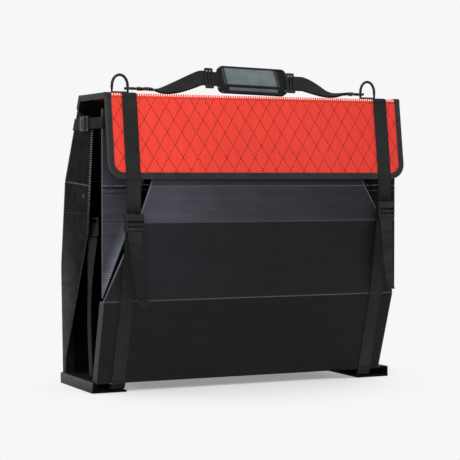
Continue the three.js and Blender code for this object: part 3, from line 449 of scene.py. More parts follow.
def sharp_edges(shape, least):
    return [edge for edge in shape.edges
            if len(edge.link_faces) == 2 and edge.calc_face_angle(0) > least]


def bevel(shape, geom, offset, segments=2, clamp=True, affect="EDGES"):
    bmesh.ops.bevel(shape, geom=geom, offset=offset, segments=segments, affect=affect,
                    profile=0.5, material=-1, clamp_overlap=clamp)


def rounded_copy(node, radius, segments=3):
    """A CAD solid with its edges rounded."""
    shape = merged(node)
    bmesh.ops.dissolve_limit(shape, angle_limit=0.01, verts=shape.verts, edges=shape.edges)
    bevel(shape, sharp_edges(shape, 0.5), radius, segments)
    return shape


def edges_of(made):
    """The edges of what a bmesh operator made, in the same order each run."""
    return list(dict.fromkeys(edge for vert in made["verts"] for edge in vert.link_edges))


def add_block(shape, place, size, radius):
    """A small block with rounded edges."""
    cube = place @ Matrix.Diagonal((*size, 1))
    bevel(shape, edges_of(bmesh.ops.create_cube(shape, size=1, matrix=cube)), radius)


def add_pin(shape, place, radius, height, tip=0.72):
    """A short domed pin along the frame's Z."""
    made = bmesh.ops.create_cone(shape, cap_ends=True, segments=20, radius1=radius,
                                 radius2=radius * tip, depth=height, matrix=place)
    rim = [edge for edge in edges_of(made) if edge.calc_length() < radius]
    bevel(shape, rim, height * 0.3)


def surface_at(node, start, way):
    """Where a line first meets a CAD solid, and the way its surface faces there."""
    met, spot, facing, _ = cad(node).ray_cast(Vector(start), Vector(way))
    if not met:
        raise RuntimeError(f"{node} isn't under {start}")
    return Matrix.Translation(spot) @ facing.to_track_quat("Z", "Y").to_matrix().to_4x4()


def stuffed(piece, grid, swell, through=None):
    """Fills a closed shape of cloth: a pressed simulation, held near the shape it was cut to.

    With a way through the piece, its rim is sewn and stays where it was cut.
    """
    skin = piece.modifiers.new("skin", "REMESH")
    skin.mode, skin.voxel_size = "VOXEL", grid
    settle(piece)
    mesh, scene = piece.data, bpy.context.scene
    cut = [vert.co.copy() for vert in mesh.vertices]
    free = [abs(vert.normal.dot(through)) if through else 1.0 for vert in mesh.vertices]
    seam = piece.vertex_groups.new(name="seam")
    seam.add([index for index, share in enumerate(free) if share < 0.6], 1.0, "REPLACE")
    cloth = piece.modifiers.new("stuffing", "CLOTH").settings
    cloth.use_pressure = True
    cloth.vertex_group_mass = "seam"
    cloth.uniform_pressure_force = 4
    cloth.effector_weights.gravity = 0
    for step in range(1, 21):
        scene.frame_set(step)
    settle(piece)
    mesh = piece.data
    filled = [vert.co.copy() for vert in mesh.vertices]
    scene.frame_set(1)
    for vert, start, end in zip(mesh.vertices, cut, filled):
        move = end - start
        vert.co = start + move * min(1.0, swell / max(move.length, 1e-9))
    smooth = piece.modifiers.new("round", "SUBSURF")
    smooth.levels = smooth.render_levels = 1
    mesh.shade_smooth()
    return piece


def settle(piece):
    """Applies a piece's modifiers to its mesh."""
    shown = bpy.context.evaluated_depsgraph_get()
    shown.update()
    made = bpy.data.meshes.new_from_object(piece.evaluated_get(shown))
    piece.modifiers.clear()
    piece.data = made


# Flat bands


class Station:
    """A place on a band: its centre and the way its width lies."""

    def __init__(self, centre, side):
        self.centre, self.side = centre, side.normalized()

    def toward(self, other, share):
        return Station(self.centre.lerp(other.centre, share), self.side.lerp(other.side, share))


def caps_of(shape, width, thickness):
    """Corner sets of the flat ends of a band's solid."""
    def fits(face):
        sides = sorted(edge.calc_length() for edge in face.edges)
        return abs(sides[0] / thickness - 1) < 0.04 and abs(sides[1] / width - 1) < 0.01
    found = [face for face in shape.faces if fits(face)]
    for face in found:
        for other in found:
            corners = {*face.verts, *other.verts}
            level = face.normal.dot(other.normal) > 0.999
            if face is not other and len(corners) == 4 and level:
                yield corners


def stations_of(node, width, thickness):
    """Reads a band's stations from its CAD solid, ring by ring from one end."""
    shape = merged(node)
    for corners in caps_of(shape, width, thickness):
        rings, seen = [set(corners)], set(corners)
        while True:
            onward = {edge.other_vert(vert) for vert in rings[-1] for edge in vert.link_edges}
            onward -= seen
            if not onward:
                break
            rings.append(onward)
            seen |= onward
        if all(len(ring) == 4 for ring in rings):
            break
    else:
        raise RuntimeError(f"{node} has no band of rings {width} wide")
    out = []
    for ring in rings:
        # sorted, because a set of corners has no fixed order
        first, *rest = sorted((vert.co.copy() for vert in ring), key=tuple)
        rest.sort(key=lambda spot: (spot - first).length)
        side = (rest[1] + rest[2] - first - rest[0]) / 2
        if out and side.dot(out[-1].side) < 0:
            side = -side
        out.append(Station((first + sum(rest, Vector())) / 4, side))
    shape.free()
    return out


def eased(stations, reach, steps=4):
    """The same band with each bend turned into a short curve."""
    out = [stations[0]]
    for before, here, after in zip(stations, stations[1:], stations[2:]):
        start, end = (here.toward(spot, min(reach / run, 0.5)) for spot, run in (
            (spot, (spot.centre - here.centre).length) for spot in (before, after)))
        for share in (i / steps for i in range(steps + 1)):
            out.append(start.toward(here, share).toward(here.toward(end, share), share))
    out.append(stations[-1])
    kept = [out[0]]
    for station in out[1:]:
        if (station.centre - kept[-1].centre).length > 0.2 * MM:
            kept.append(station)
    return kept


def frame_at(stations, i):
    """X across the band, Y out of its face, Z along it."""
    before, after = stations[max(i - 1, 0)], stations[min(i + 1, len(stations) - 1)]
    run = (after.centre - before.centre).normalized()
    face = run.cross(stations[i].side).normalized()
    axes = Matrix((face.cross(run).normalized(), face, run)).transposed()
    return Matrix.Translation(stations[i].centre) @ axes.to_4x4()


def moved_out(stations, distance):
    """The band's stations, moved along its face."""
    return [Station(station.centre + frame_at(stations, i).col[1].xyz * distance, station.side)
            for i, station in enumerate(stations)]


def add_band(shape, stations, width, thickness):
    """Webbing with rounded rims, drawn out along its stations."""
    weave = shape.loops.layers.uv.get("weave") or shape.loops.layers.uv.new("weave")
    floats = shape.verts.layers.float
    along, across = (floats.get(name) or floats.new(name) for name in ("along", "across"))
    made = bmesh.ops.create_grid(shape, x_segments=1, y_segments=1, size=0.5)["verts"]
    bmesh.ops.scale(shape, verts=made, vec=(width, thickness, 1))
    old = set(shape.verts) - set(made)
    bevel(shape, made, thickness * 0.42, affect="VERTICES")
    made = [vert for vert in shape.verts if vert not in old]
    face = made[0].link_faces[0]
    for vert in made:
        vert[across] = vert.co.x
    last, run = frame_at(stations, 0), 0.0
    bmesh.ops.transform(shape, matrix=last, verts=made)
    for i in range(1, len(stations)):
        drawn = bmesh.ops.extrude_face_region(shape, geom=[face])["geom"]
        made = [item for item in drawn if isinstance(item, bmesh.types.BMVert)]
        face = next(item for item in drawn if isinstance(item, bmesh.types.BMFace))
        here = frame_at(stations, i)
        bmesh.ops.transform(shape, matrix=here @ last.inverted(), verts=made)
        run += (stations[i].centre - stations[i - 1].centre).length
        for vert in made:
            vert[along] = run
        last = here
    for face in shape.faces:
        for loop in face.loops:
            loop[weave].uv = (loop.vert[along], loop.vert[across])
        face.smooth = len(face.verts) == 4


def curled(stations, angle):
    """The band turned more and more on edge along its length, its left rim coming forward."""
    out = []
    for i, station in enumerate(stations):
        share = i / (len(stations) - 1)
        part = angle * share * share * (3 - 2 * share)
        away = frame_at(stations, i).col[1].xyz
        away = away if away.y < 0 else -away
        side = station.side if station.side.x > 0 else -station.side
        out.append(Station(station.centre + away * (17 * MM * math.sin(part)),
                           side * math.cos(part) - away * math.sin(part)))
    return out


def strap(name, node, size, paint, reach, hem=0.0, curl=0.0):
    """A strap in place of its CAD node, with a hem folded at its lower end where asked for."""
    width, thickness = size
    stations = eased(stations_of(node, *size), reach)
    if stations[0].centre.z < stations[-1].centre.z - MM:
        stations.reverse()
    if curl:
        stations = curled(stations, curl)
    shape = bmesh.new()
    add_band(shape, stations, width - 0.6 * MM, thickness)
    if hem:
        spent, tip = 0.0, [stations[-1]]
        for here, onward in zip(stations[-2::-1], stations[::-1]):
            spent += (here.centre - onward.centre).length
            tip.insert(0, here)
            if spent > hem:
                break
        add_band(shape, moved_out(tip, thickness * 0.96), width - 0.8 * MM, thickness * 0.9)
    return finished(name, shape, cad(node)["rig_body"], paint, [node])


def bending(name, stations, size, bodies, start, end, paint, slot):
    """A band that bends between two bodies."""
    shape = bmesh.new()
    add_band(shape, stations, *size)
    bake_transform(finished(name, shape, "", paint), *bodies, start, end)


def bridge(name, nodes, bodies, paint):
    """A short stretch of webbing that bends with a hinge, over the ends of the straps it joins."""
    runs = [stations_of(node, *STRAP) for node in nodes]
    ways = [(first, second) for first in (runs[0], runs[0][::-1])
            for second in (runs[1], runs[1][::-1])]
    first, second = min(ways, key=lambda pair: (pair[0][-1].centre - pair[1][0].centre).length)
    tips = (first[-1], second[0])
    ends = [tip.toward(inner, FOLD_GRIP / (inner.centre - tip.centre).length)
            for tip, inner in zip(tips, (first[-2], second[1]))]
    stations = [ends[0], *tips, ends[1]]
    for station in stations:
        if station.side.dot(stations[0].side) < 0:
            station.side = -station.side
    size = (STRAP[0] - 0.2 * MM, STRAP[1] + 0.5 * MM)
    bending(name, eased(stations, 3 * MM), size, bodies, *(tip.centre for tip in tips),
            paint, "webbing")


def crease(name, nodes, bodies, x, size, paint, slot, bend):
    """A skin over a crease of the lid that bends with its hinge, where two nodes' faces meet."""
    way = 1 if bodies[1] == "case" else -1
    top = surface_at(nodes[0], (x, 0, 1), (0, 0, -1))
    wall = surface_at(nodes[1], (x, way, CREASE_HEIGHT), (0, -way, 0))
    fold, _ = intersect_plane_plane(top.translation, top.col[2].xyz,
                                    wall.translation, wall.col[2].xyz)
    fold.x = x
    runs = [(place.translation - fold).normalized() for place in (top, wall)]
    stations = [Station(spot, Vector((-way, 0, 0))) for spot in (
        fold + runs[0] * CREASE_REACH, fold, fold + runs[1] * CREASE_REACH)]
    bending(name, moved_out(eased(stations, bend, 6), 0.1 * size[1]), size, bodies,
            *(fold + run * bend for run in runs), paint, slot)


def ring_of(place, half_length, half_height, corner):
    """Stations round a rectangle with round corners in a frame's XZ plane."""
    out, steps = [], 6
    for quarter, (cos, sin) in enumerate(((1, 1), (-1, 1), (-1, -1), (1, -1))):
        middle = Vector((cos * (half_length - corner), 0, sin * (half_height - corner)))
        for step in range(steps + 1):
            angle = math.radians(90 * (quarter + step / steps))
            spot = middle + Vector((math.cos(angle), 0, math.sin(angle))) * corner
            out.append(Station(place @ spot, place.to_3x3() @ Vector((0, 1, 0))))
    return [*out, out[0]]


# Finishes


def corner_fold(x, z):
    """How far in from the case's end the diagonal fold lies at each height, left and right."""
    ends = []
    for insets in FOLD_INSETS:
        inset = insets[0]
        for low, high, start, end in zip(FOLD_HEIGHTS, FOLD_HEIGHTS[1:], insets, insets[1:]):
            inset = z.ramp(low, high, 0, end - start) + inset
        ends.append(inset)
    return ends[0] * (x < 0) + ends[1] * (x > 0)


class Sheet(Paint):
    """Twin-wall sheet: flutes on its faces, open cells at its cut edges, folds and scratches."""

    def __init__(self, name, look, upright=True, gloss=0.12):
        super().__init__(name, gloss)
        self.look = look
        self.x, self.y, self.z = self.place()
        self.turned = [abs(part) for part in self.facing()]
        flat = self.turned[2] > 0.75
        course = self.z * (1 - flat) + self.y * flat if upright else self.y
        self.cell = course.ribs(look.flute)
        self.wall = self.cell.ease(0.0, 0.3, 1, 0)

    def creases(self, *folds):
        """Light lines at heights, each with its strength and its width in millimetres."""
        return sum((self.z.near(at, width * MM) * strength for at, strength, width in folds), 0.0)

    def finish(self, tone, folds, cut, scratches=0.1, rim=0.0, dull=0.0):
        """Adds flutes, folds, cut edges, scratches and dull places to a tone."""
        look = self.look
        streaks = self.spot(self.x * 6, self.y * 30, self.z * 60)
        worn = self.blots(3.1, 4, 0.82, 1.2, 0.6) * self.blots(1.0, 4, 0.9, 1.12, 0.65, streaks)
        tone = self.shade(tone, worn * (1 + self.wall * 0.34))
        grain = self.blots(210, 2, 0.55, 1.15)
        tone = self.mix((folds * grain).least(1.0), tone, look.crease)
        lines = self.spot(self.x * 14, self.y * 160, self.z * 260)
        scratch = self.noise(1.0, 5, 0.7, lines).ease(0.62, 0.72, 0, scratches)
        tone = self.mix(scratch, tone, look.crease)
        comb = self.cell.ease(0.45, 0.8, 1, 0.06)
        crumple = self.noise(26, 5, 0.62).ease(0.25, 0.75)
        relief = self.cell ** 0.6 - folds * 0.8 + crumple * 0.35 + self.noise(900, 2) * 0.05
        return self.coat(self.mix((cut * comb + rim).least(1.0), tone, look.edge),
                         self.blots(35, 4, 0.38, 0.52) + dull, relief, 0.35 * MM, 0.6)


def front_paint(look):
    """The front's three bands between its creases in painted light and shade, lighter to the left, with a
    whitened edge along the diagonals.
    """
    paint = Sheet("hull_front", look)
    x, y, z = paint.x, paint.y, paint.z
    low, belly, shoulder = FOLD_HEIGHTS[1:4]
    soft = 0.4 * MM
    # Painted light and shade: the knee and the belly in darker tones, the upper strip in a painted sheen
    # that fades to the right and dims above the shoulder under the lid
    tone = paint.mix(z.ease(low - soft, low + soft), look.lower, look.middle)
    band = z.ease(belly - soft, belly + soft)
    band = band * z.ease(shoulder - 0.5 * MM, shoulder + 0.5 * MM, 1, 0.5)
    tone = paint.mix(band * x.ease(-0.41, 0.45, 1.0, 0.4), tone, look.upper)
    # Painted light: the whole front lighter to the left, where the key light falls, and darker to the right
    tone = paint.shade(tone, x.ease(-0.42, 0.3, 1.34, 0.8))
    # Painted shade: the lower faces turned towards the ends are darkened, and made duller
    turned_in = (paint.turned[0] > 0.6) * (z < low)
    tone = paint.shade(tone, 1 - turned_in * 0.62)
    folds = paint.creases((low, 0.85, 2.6), (belly, 0.6, 2.4), (belly + 3.5 * MM, 0.12, 3),
                          (shoulder, 0.95, 2.0))
    inside = HALF_CASE - abs(x) - corner_fold(x, z)
    rim = inside.near(soft, 3 * MM) * z.ease(shoulder + 7 * MM, shoulder + 21 * MM, 1, 0)
    bright = z.ease(low - 10 * MM, 0.33, 0.22, 0.62)
    bright = bright * z.ease(belly + 10 * MM, shoulder - 9 * MM, 1, 0.75)
    rim = rim * bright * paint.cell.ease(0.2, 0.8, 1.0, 0.45)
    heel = y + KNEE_DEPTH - (low - z) * FRONT_LEAN
    flange = (paint.turned[0] > 0.72) * (z < low) * heel.ease(0.8 * MM, 2.4 * MM, 1, 0)
    return paint.finish(tone, folds, flange * 0.1, rim=rim, dull=turned_in * 0.45)


def corner_paint(look):
    """The fold behind the diagonal: painted lighter and bluish on the left as painted sheen, with painted
    shadows in the gap behind the front's edge and beside its torn creases, and torn flutes along its edge.
    """
    paint = Sheet("hull_corners", look, gloss=0.06)
    x, z = paint.x, paint.z
    past = corner_fold(x, z) - HALF_CASE + abs(x)
    left = x < 0
    # Painted light: the left corner in a lighter bluish sheen tone, with a painted glow near the diagonal
    tone = paint.mix(left, look.middle, look.corner)
    glow = past.near(8 * MM, 26 * MM) * left * z.ease(0.36, 0.46, 1.5, 0.5)
    tone = paint.shade(tone, 1 + glow)
    # Painted shadow: dark in the gap behind the front's edge, and darker towards the top under the lid
    tone = paint.shade(tone, past.ease(2.5 * MM, 5 * MM) * z.ease(0.7, 0.45, 0.6, 1.0))
    teeth = past.near(7.5 * MM, 6.5 * MM) * paint.cell.ease(0.3, 0.8, 1, 0.1)
    teeth = teeth * z.ease(0.245, 0.28) * z.ease(0.44, 0.49, 0.55, 0)
    edge = (HALF_CASE - abs(x)).ease(0.8 * MM, 3 * MM, 1, 0) * z.ease(0.3, 0.45, 0.6, 1.2)
    edge = edge * paint.cell.ease(0.2, 0.8, 1.0, 0.4)
    torn = paint.noise(80, 5, 0.7).ease(0.42, 0.58, 0.25, 1.3)
    wander = z + paint.noise(11, 3) * 0.012 - 0.006
    ridge = 0.5095
    # Painted shadow: dark lines below the torn creases
    shadow_gaps = wander.near(ridge - 5.5 * MM, 3.6 * MM) * 0.8
    shadow_gaps = shadow_gaps + wander.near(ridge - 19 * MM, 2.4 * MM) * 0.5
    tone = paint.shade(tone, 1 - shadow_gaps)
    ridges = wander.near(ridge, 2.6 * MM) + wander.near(ridge - 12 * MM, 3.4 * MM) * 0.55
    folds = ridges * torn + paint.creases((FOLD_HEIGHTS[2] - 1.5 * MM, 0.4, 2.0))
    rip = wander.near(ridge + 0.5 * MM, 2.2 * MM) * torn * 0.4
    return paint.finish(tone, edge + folds, 0.0, rim=teeth * left + rip)


def end_paint(look):
    """The end strips: near black, olive where light falls through them low down at the back."""
    paint = Sheet("hull_ends", look, gloss=0.01)
    y, z = paint.y, paint.z
    through = z.ramp(0.46, 0.2) * y.ease(0.02, 0.17) * paint.blots(5, 3, 0.6, 1.1)
    # Painted shade and light: the strips in a darker tone of the sheet, painted olive where light falls
    # through
    tone = paint.mix(through * 0.62, look.end, look.olive)
    torn = paint.noise(70, 5, 0.7).ease(0.36, 0.56, 0.5, 1.3)
    low, high = INNER_FOLDS
    folds = (z - y * 0.055).near(END_FOLD, 2.6 * MM) * torn
    folds = folds + paint.creases((low, 0.32, 1.6), (high, 0.25, 1.5))
    roof_line = (y - 2.8 * MM) * 0.77 + 0.674
    roof = (z - roof_line).ease(0, 2.5 * MM)
    cut = (paint.turned[1] > 0.72) * (y < 0.165) * z.ease(0.4, 0.52, 0.22, 0.62)
    return paint.finish(tone, folds + roof * (y > 0.0) * 1.1, cut)


def back_paint(look):
    """The back, its roof and the floor."""
    paint = Sheet("hull_back", look)
    low, high = BACK_FOLDS
    # Painted shade: darker below the back's lower fold
    tone = paint.mix(paint.z.ease(low - 0.5 * MM, low + 0.5 * MM), look.lower, look.middle)
    folds = paint.creases((low, 0.7, 2.4), (high, 0.7, 2.2))
    return paint.finish(tone, folds, (paint.turned[0] > 0.72) * 0.1)


def inner_paint(look):
    """The bow and stern sections and the bulkheads, folded away in the dark."""
    paint = Sheet("hull_inside", look, gloss=0.03)
    low, high = INNER_FOLDS
    # Painted shade: the inner sections in a darker tone than the outer sheet
    return paint.finish(look.inner, paint.creases((low, 0.25, 1.6), (high, 0.15, 1.5)), 0.0)


def foot_paint(look):
    """The feet's channels, olive where their end plates catch the light."""
    paint = Sheet("hull_feet", look, upright=False, gloss=0.04)
    past = abs(paint.x) - HALF_CASE
    outside = (past > 8.2 * MM) * paint.z.ease(0, 27 * MM, 0.5, 1)
    lip = paint.z.ease(24.5 * MM, 26.2 * MM) * (past > 3 * MM)
    tone = paint.mix((outside * 0.85 + lip * 0.5).least(1.0), look.end, look.olive)
    return paint.finish(tone, lip * 0.3, 0.0, 0.15)


def board_tone(paint, look, cell, x, high, low):
    """The board's red, darker over its inner walls, and darker towards its right end as painted shade."""
    patches = paint.blots(2.6, 3, 0.94, 1.04) * (1 - cell.ease(0, 0.35, 1, 0) * 0.15)
    # Painted shade: the red darker towards the right end, away from the key light
    return paint.shade(look.red, patches * x.ease(-0.4, 0.42, high, low))


def lid_paint(look, name, matrix, cut, printed=False):
    """Red board with upright flutes, cut on the faces that look along one axis.

    The flap has a plain diamond lattice of printed dots.
    """
    paint = Paint(name, 0.05)
    x, depth, run = paint.place(matrix)
    cell = x.ribs(look.flute)
    streaks = paint.spot(x * 70, depth * 5, run * 9)
    tone = board_tone(paint, look, cell, x, 1.03, 0.9)
    tone = paint.shade(tone, paint.blots(1.0, 4, 0.95, 1.04, 0.6, streaks))
    if printed:
        along, down = math.cos(look.slant), math.sin(look.slant)
        dots = 0.0
        for way in (1, -1):
            row = (x * along + run * (way * down)).fold(look.lattice / 2)
            step = (run * along - x * (way * down)).fold(look.mark_step / 2)
            dots = ((row * row + step * step).root() < look.mark_size) + dots
        ink = paint.noise(260, 2).ease(0.25, 0.5, 0.65, 1.0)
        tone = paint.mix(dots.least(1.0) * ink, tone, look.mark)
    teeth = cell.ease(0.45, 0.62, 1.0, 0.0)
    ends = paint.mix(teeth, paint.shade(look.red, 0.7), look.edge)
    return paint.coat(paint.mix(abs(paint.facing()[cut]) > 0.7, tone, ends),
                      paint.blots(40, 3, 0.42, 0.56),
                      cell ** 0.6 + paint.noise(9, 3) * 0.6, 0.3 * MM, 0.5)


def crease_paint(look):
    """The board's outer skin over a crease: its walls show as a row of whitened teeth."""
    paint = Paint("lid_crease", 0.05)
    along, across = paint.weave()
    cell = across.ribs(look.flute)
    row = along.near(CREASE_REACH + 1.9 * MM, 4.2 * MM).ease(0, 0.3)
    teeth = row * cell.ease(0.5, 0.66, 1, 0) * paint.blots(60, 3, 0.75, 1.1)
    tone = paint.mix(teeth, board_tone(paint, look, cell, across, 1.02, 0.89), look.edge)
    return paint.coat(tone, 0.5, cell ** 0.6 - teeth, 0.3 * MM, 0.5)


def tape_paint(look, matrix):
    """Ribbed binding tape: worn patches, a painted highlight along its outer fold and one row of stitches
    inside it.
    """
    paint = Paint("binding_tape", 0.15)
    x, _, z = paint.place()
    rib = (x + z).ribs(1.3 * MM) * (x - z).ribs(1.3 * MM)
    blot = paint.blots(24, 4)
    across, _, run = paint.place(matrix)
    beside = (abs(across) - (HALF_CASE - look.corner)).most(0.0)
    below = (-run - (FLAP_REACH - look.corner)).most(0.0)
    inward = look.corner - (beside * beside + below * below).root()
    # Painted highlight: the tape's outer fold painted lighter, in the worn tone
    fold = inward.ease(0.6 * MM, 4.5 * MM, 0.75, 0)
    line = inward.near(look.width - 3 * MM, 0.8 * MM)
    thread = line * ((across + run).fold(2 * MM) > 0.7 * MM)
    tone = paint.mix(blot * 0.35 + rib * 0.2 + fold * 0.5, look.tone, look.worn)
    tone = paint.mix(thread * 0.6, tone, look.tone * 0.4)
    return paint.coat(tone, 0.6 + blot * 0.2, rib * 0.6 - line * 1.2 + thread, 0.2 * MM, 0.6)


def webbing_paint(look, name="webbing", stitches=()):
    """Woven polyester: ribs across the strap, yarns along it and rows of stitches."""
    paint = Paint(name, 0.07)
    along, across = paint.weave()
    yarn = across.swing(look.yarn)
    rib = (along + yarn * (0.22 * look.rib)).swing(look.rib)
    knit = abs(rib) * 0.6 + abs(yarn) * 0.4
    edge = abs(across).ease(15.9 * MM, 17.2 * MM)
    fuzz = paint.noise(1.0, 3, 0.6, paint.spot(along * 55, across * 240))
    rub = paint.noise(9, 4, 0.6).ease(0.35, 0.7, -0.12, 0.2)
    worn = (knit * 0.5 + fuzz.ease(0.35, 0.75, 0, 0.3) + rub) * (1 - edge * 0.5)
    tone = paint.mix(worn, look.tone, look.worn)
    sewn = 0.0
    for at in stitches:
        sewn = along.near(at, 0.9 * MM) * (across.swing(2.4 * MM) > -0.4) + sewn
    if stitches:
        tone = paint.mix(sewn, tone, look.tone * 0.5)
    return paint.coat(tone, 0.7 + fuzz * 0.2, knit - edge * 0.25 - sewn * 1.5, 0.28 * MM, 0.8)


def plastic_paint(name, tone, worn, roughness=0.26):
    """Moulded nylon with a fine spark-eroded grain and pale scuffs."""
    paint = Paint(name, 0.28)
    grain = paint.noise(1400, 2)
    scuff = paint.noise(60, 6, 0.75).ease(0.58, 0.72, 0, 0.5)
    return paint.coat(paint.mix(scuff, paint.shade(tone, paint.blots(30, 3, 0.85, 1.15)), worn),
                      roughness + scuff * 0.25 + grain * 0.1, grain + scuff * 0.5, 0.06 * MM, 0.5)


def steel_paint(look):
    """Blackened steel, bright where it is rubbed."""
    paint = Paint("hook_steel", 0.5, 0.85)
    scuff = paint.noise(90, 6, 0.7).ease(0.5, 0.7)
    tone = paint.mix(scuff, look.steel * 0.3, look.steel)
    return paint.coat(tone, 0.26 + scuff * 0.2, paint.noise(700, 3), 0.04 * MM, 0.4)


def foam_paint():
    """Open-celled grey foam."""
    paint = Paint("seat_foam", 0.2)
    cells = paint.node("ShaderNodeTexVoronoi", {"feature": "F1"}, {
        "Vector": paint.point(), "Scale": 700.0})
    worn = paint.blots(18, 4, 0.75, 1.2) * (0.75 + cells * 0.5)
    return paint.coat(paint.shade((0.035, 0.038, 0.042), worn), 0.9, cells, 0.3 * MM, 0.6)


def pad_paint(look, matrix):
    """Black mesh with a slanted grey panel and a dull stripe sewn on its front."""
    paint = Paint("pad_cloth", 0.12)
    x, y, z = paint.place(matrix)
    front = y < 0.0
    lean = x + z * 0.16
    sides = abs(lean + 4.6 * MM) - PANEL[0] / 2
    ends = abs(z - PANEL[2]) - PANEL[1] / 2
    panel = sides.most(ends)
    inside = (panel < 0) * front
    border = sides.ease(0.5 * MM, 1.5 * MM) * sides.ease(7 * MM, 8.5 * MM, 1, 0)
    border = border * (ends < 0) * front
    stripe = (abs(z - STRIPE[2]) < STRIPE[1] / 2) * (abs(x) < STRIPE[0] / 2) * front
    seam = abs(panel).ease(0, 1.3 * MM, 1, 0) * front
    sewn = panel.near(-3.2 * MM, 0.7 * MM) * ((lean + z).fold(1.6 * MM) > 0.6 * MM) * front
    knit = x.ribs(1.6 * MM) * z.ribs(1.6 * MM)
    tone = paint.mix(inside, paint.mix(border * 0.25, look.cloth, look.panel), look.panel)
    tone = paint.mix(stripe, tone, look.stripe)
    worn = paint.blots(30, 4, 0.86, 1.12) * (0.82 + knit * 0.3)
    tone = paint.shade(tone, worn * (1 - seam * 0.75) * (1 - sewn * 0.45))
    relief = knit * 0.5 - seam * 2.2 - sewn + inside * 1.2 + stripe * 0.8
    return paint.coat(tone, 0.8, relief, 0.5 * MM, 0.7)


# Operators


class KAYAK_OT_stage(bpy.types.Operator):
    """Set up the camera, the floor and the lamps"""

    bl_idname = "kayak.stage"
    bl_label = "Stage"

    def execute(self, context):
        look, scene = context.scene.kayak_case.stage, context.scene
        scene.view_settings.view_transform = "Standard"
        target = Vector(look.target)
        turned = Matrix.Rotation(look.azimuth, 3, "Z") @ Matrix.Rotation(-look.height_angle, 3, "X")
        spot = target + turned @ Vector((0, -look.distance, 0))
        scene.camera = self.holder("camera", bpy.data.cameras.new("camera"), target - spot)
        scene.camera.location = spot
        scene.camera.data.lens = look.lens
        scene.camera.data.sensor_width = 36
        for name, strength, spread, way in (("key", look.key, 40, (0.45, 0.7, -0.75)),
                                            ("top", look.top, 80, (0, 0, -1))):
            lamp = bpy.data.lights.new(name, "SUN")
            lamp.energy, lamp.angle = strength, math.radians(spread)
            self.holder(name, lamp, Vector(way))
        self.backdrop(look)
        self.floor(look)
        return {"FINISHED"}

    def holder(self, name, data, way):
        """A camera or lamp that looks along a way."""
        made = bpy.data.objects.new(name, data)
        made.rotation_euler = way.to_track_quat("-Z", "Y").to_euler()
        bpy.context.scene.collection.objects.link(made)
        return made

    def backdrop(self, look):
        world = bpy.data.worlds.new("studio")
        bpy.context.scene.world = world
        world.use_nodes = True
        room = Tree(world.node_tree)
        strength = room.seen() * (look.background - look.ambient) + look.ambient
        glow = room.node("ShaderNodeBackground", inputs={"Color": (1, 1, 1), "Strength": strength})
        output = room.tree.nodes.new("ShaderNodeOutputWorld")
        room.join(glow, output.inputs["Surface"])

    def floor(self, look):
        """A pale disc that keeps the case's shadow and fades into the backdrop."""
        shape = bmesh.new()
        bmesh.ops.create_circle(shape, cap_ends=True, segments=96, radius=look.floor_radius,
                                matrix=Matrix.Translation((0, 0, -0.4 * MM)))
        paint = Paint("floor", 0.0)
        x, y, _ = paint.place()
        tone = paint.blots(2.0, 2, 0.985 * look.floor_tone, look.floor_tone)
        paint.set("Base Color", paint.shade((1, 1, 1), tone))
        paint.set("Roughness", 0.85)
        glow = paint.node("ShaderNodeEmission", inputs={
            "Color": (1, 1, 1), "Strength": look.background})
        away = (x * x + y * y).root()
        fade = away.ease(look.near_floor, look.far_floor, look.floor_glow, 1.0) * paint.seen()
        lit = Wire(paint, paint.shader.outputs[0])
        both = paint.node("ShaderNodeMixShader", inputs={0: fade, 1: lit, 2: glow})
        paint.join(both, paint.output.inputs["Surface"])
        finished("floor", shape, "", paint)


class KAYAK_OT_hull(bpy.types.Operator):
    """Finish the hull's creased sheet, round its feet and set its rivets"""

    bl_idname = "kayak.hull"
    bl_label = "Hull sheet"

    def execute(self, context):
        look = context.scene.kayak_case.sheet
        corners, ends, back, inner, front, feet = (made(look) for made in (
            corner_paint, end_paint, back_paint, inner_paint, front_paint, foot_paint))
        wear(cad("front_panel"), front)
        for node in ("back_panel", "hull_floor"):
            wear(cad(node), back)
        for node in ("bow_section", "stern_section", "bow_bulkhead", "stern_bulkhead"):
            wear(cad(node), inner)
        for end in ENDS:
            wear(cad(f"front_corner_{end}"), corners)
            wear(cad(f"end_strip_{end}"), ends)
            foot = f"foot_{end}"
            shape = rounded_copy(foot, look.foot_round)
            finished(f"foot_channel_{end}", shape, "case", feet, [foot], True)
        self.rivets(look)
        return {"FINISHED"}

    def rivets(self, look):
        """One on each end strip, and two where the right corner is gathered."""
        shape = bmesh.new()
        bpy.context.view_layer.update()
        for end, way in ENDS.items():
            place = surface_at(f"end_strip_{end}", (way * 0.5, *STRIP_RIVET), (-way, 0, 0))
            add_pin(shape, place, look.rivet, 2.4 * MM)
            add_pin(shape, place, look.rivet * 0.45, 4 * MM)
        x, heights = CORNER_RIVETS
        for z in heights:
            place = surface_at("front_corner_right", (x, -0.3, z), (0, 1, 0))
            add_pin(shape, place, look.rivet * 0.7, 2.4 * MM)
        paint = plastic_paint("rivet_moulding", look.rivet_tone, look.crease)
        finished("rivets", shape, "case", paint, smooth=True)


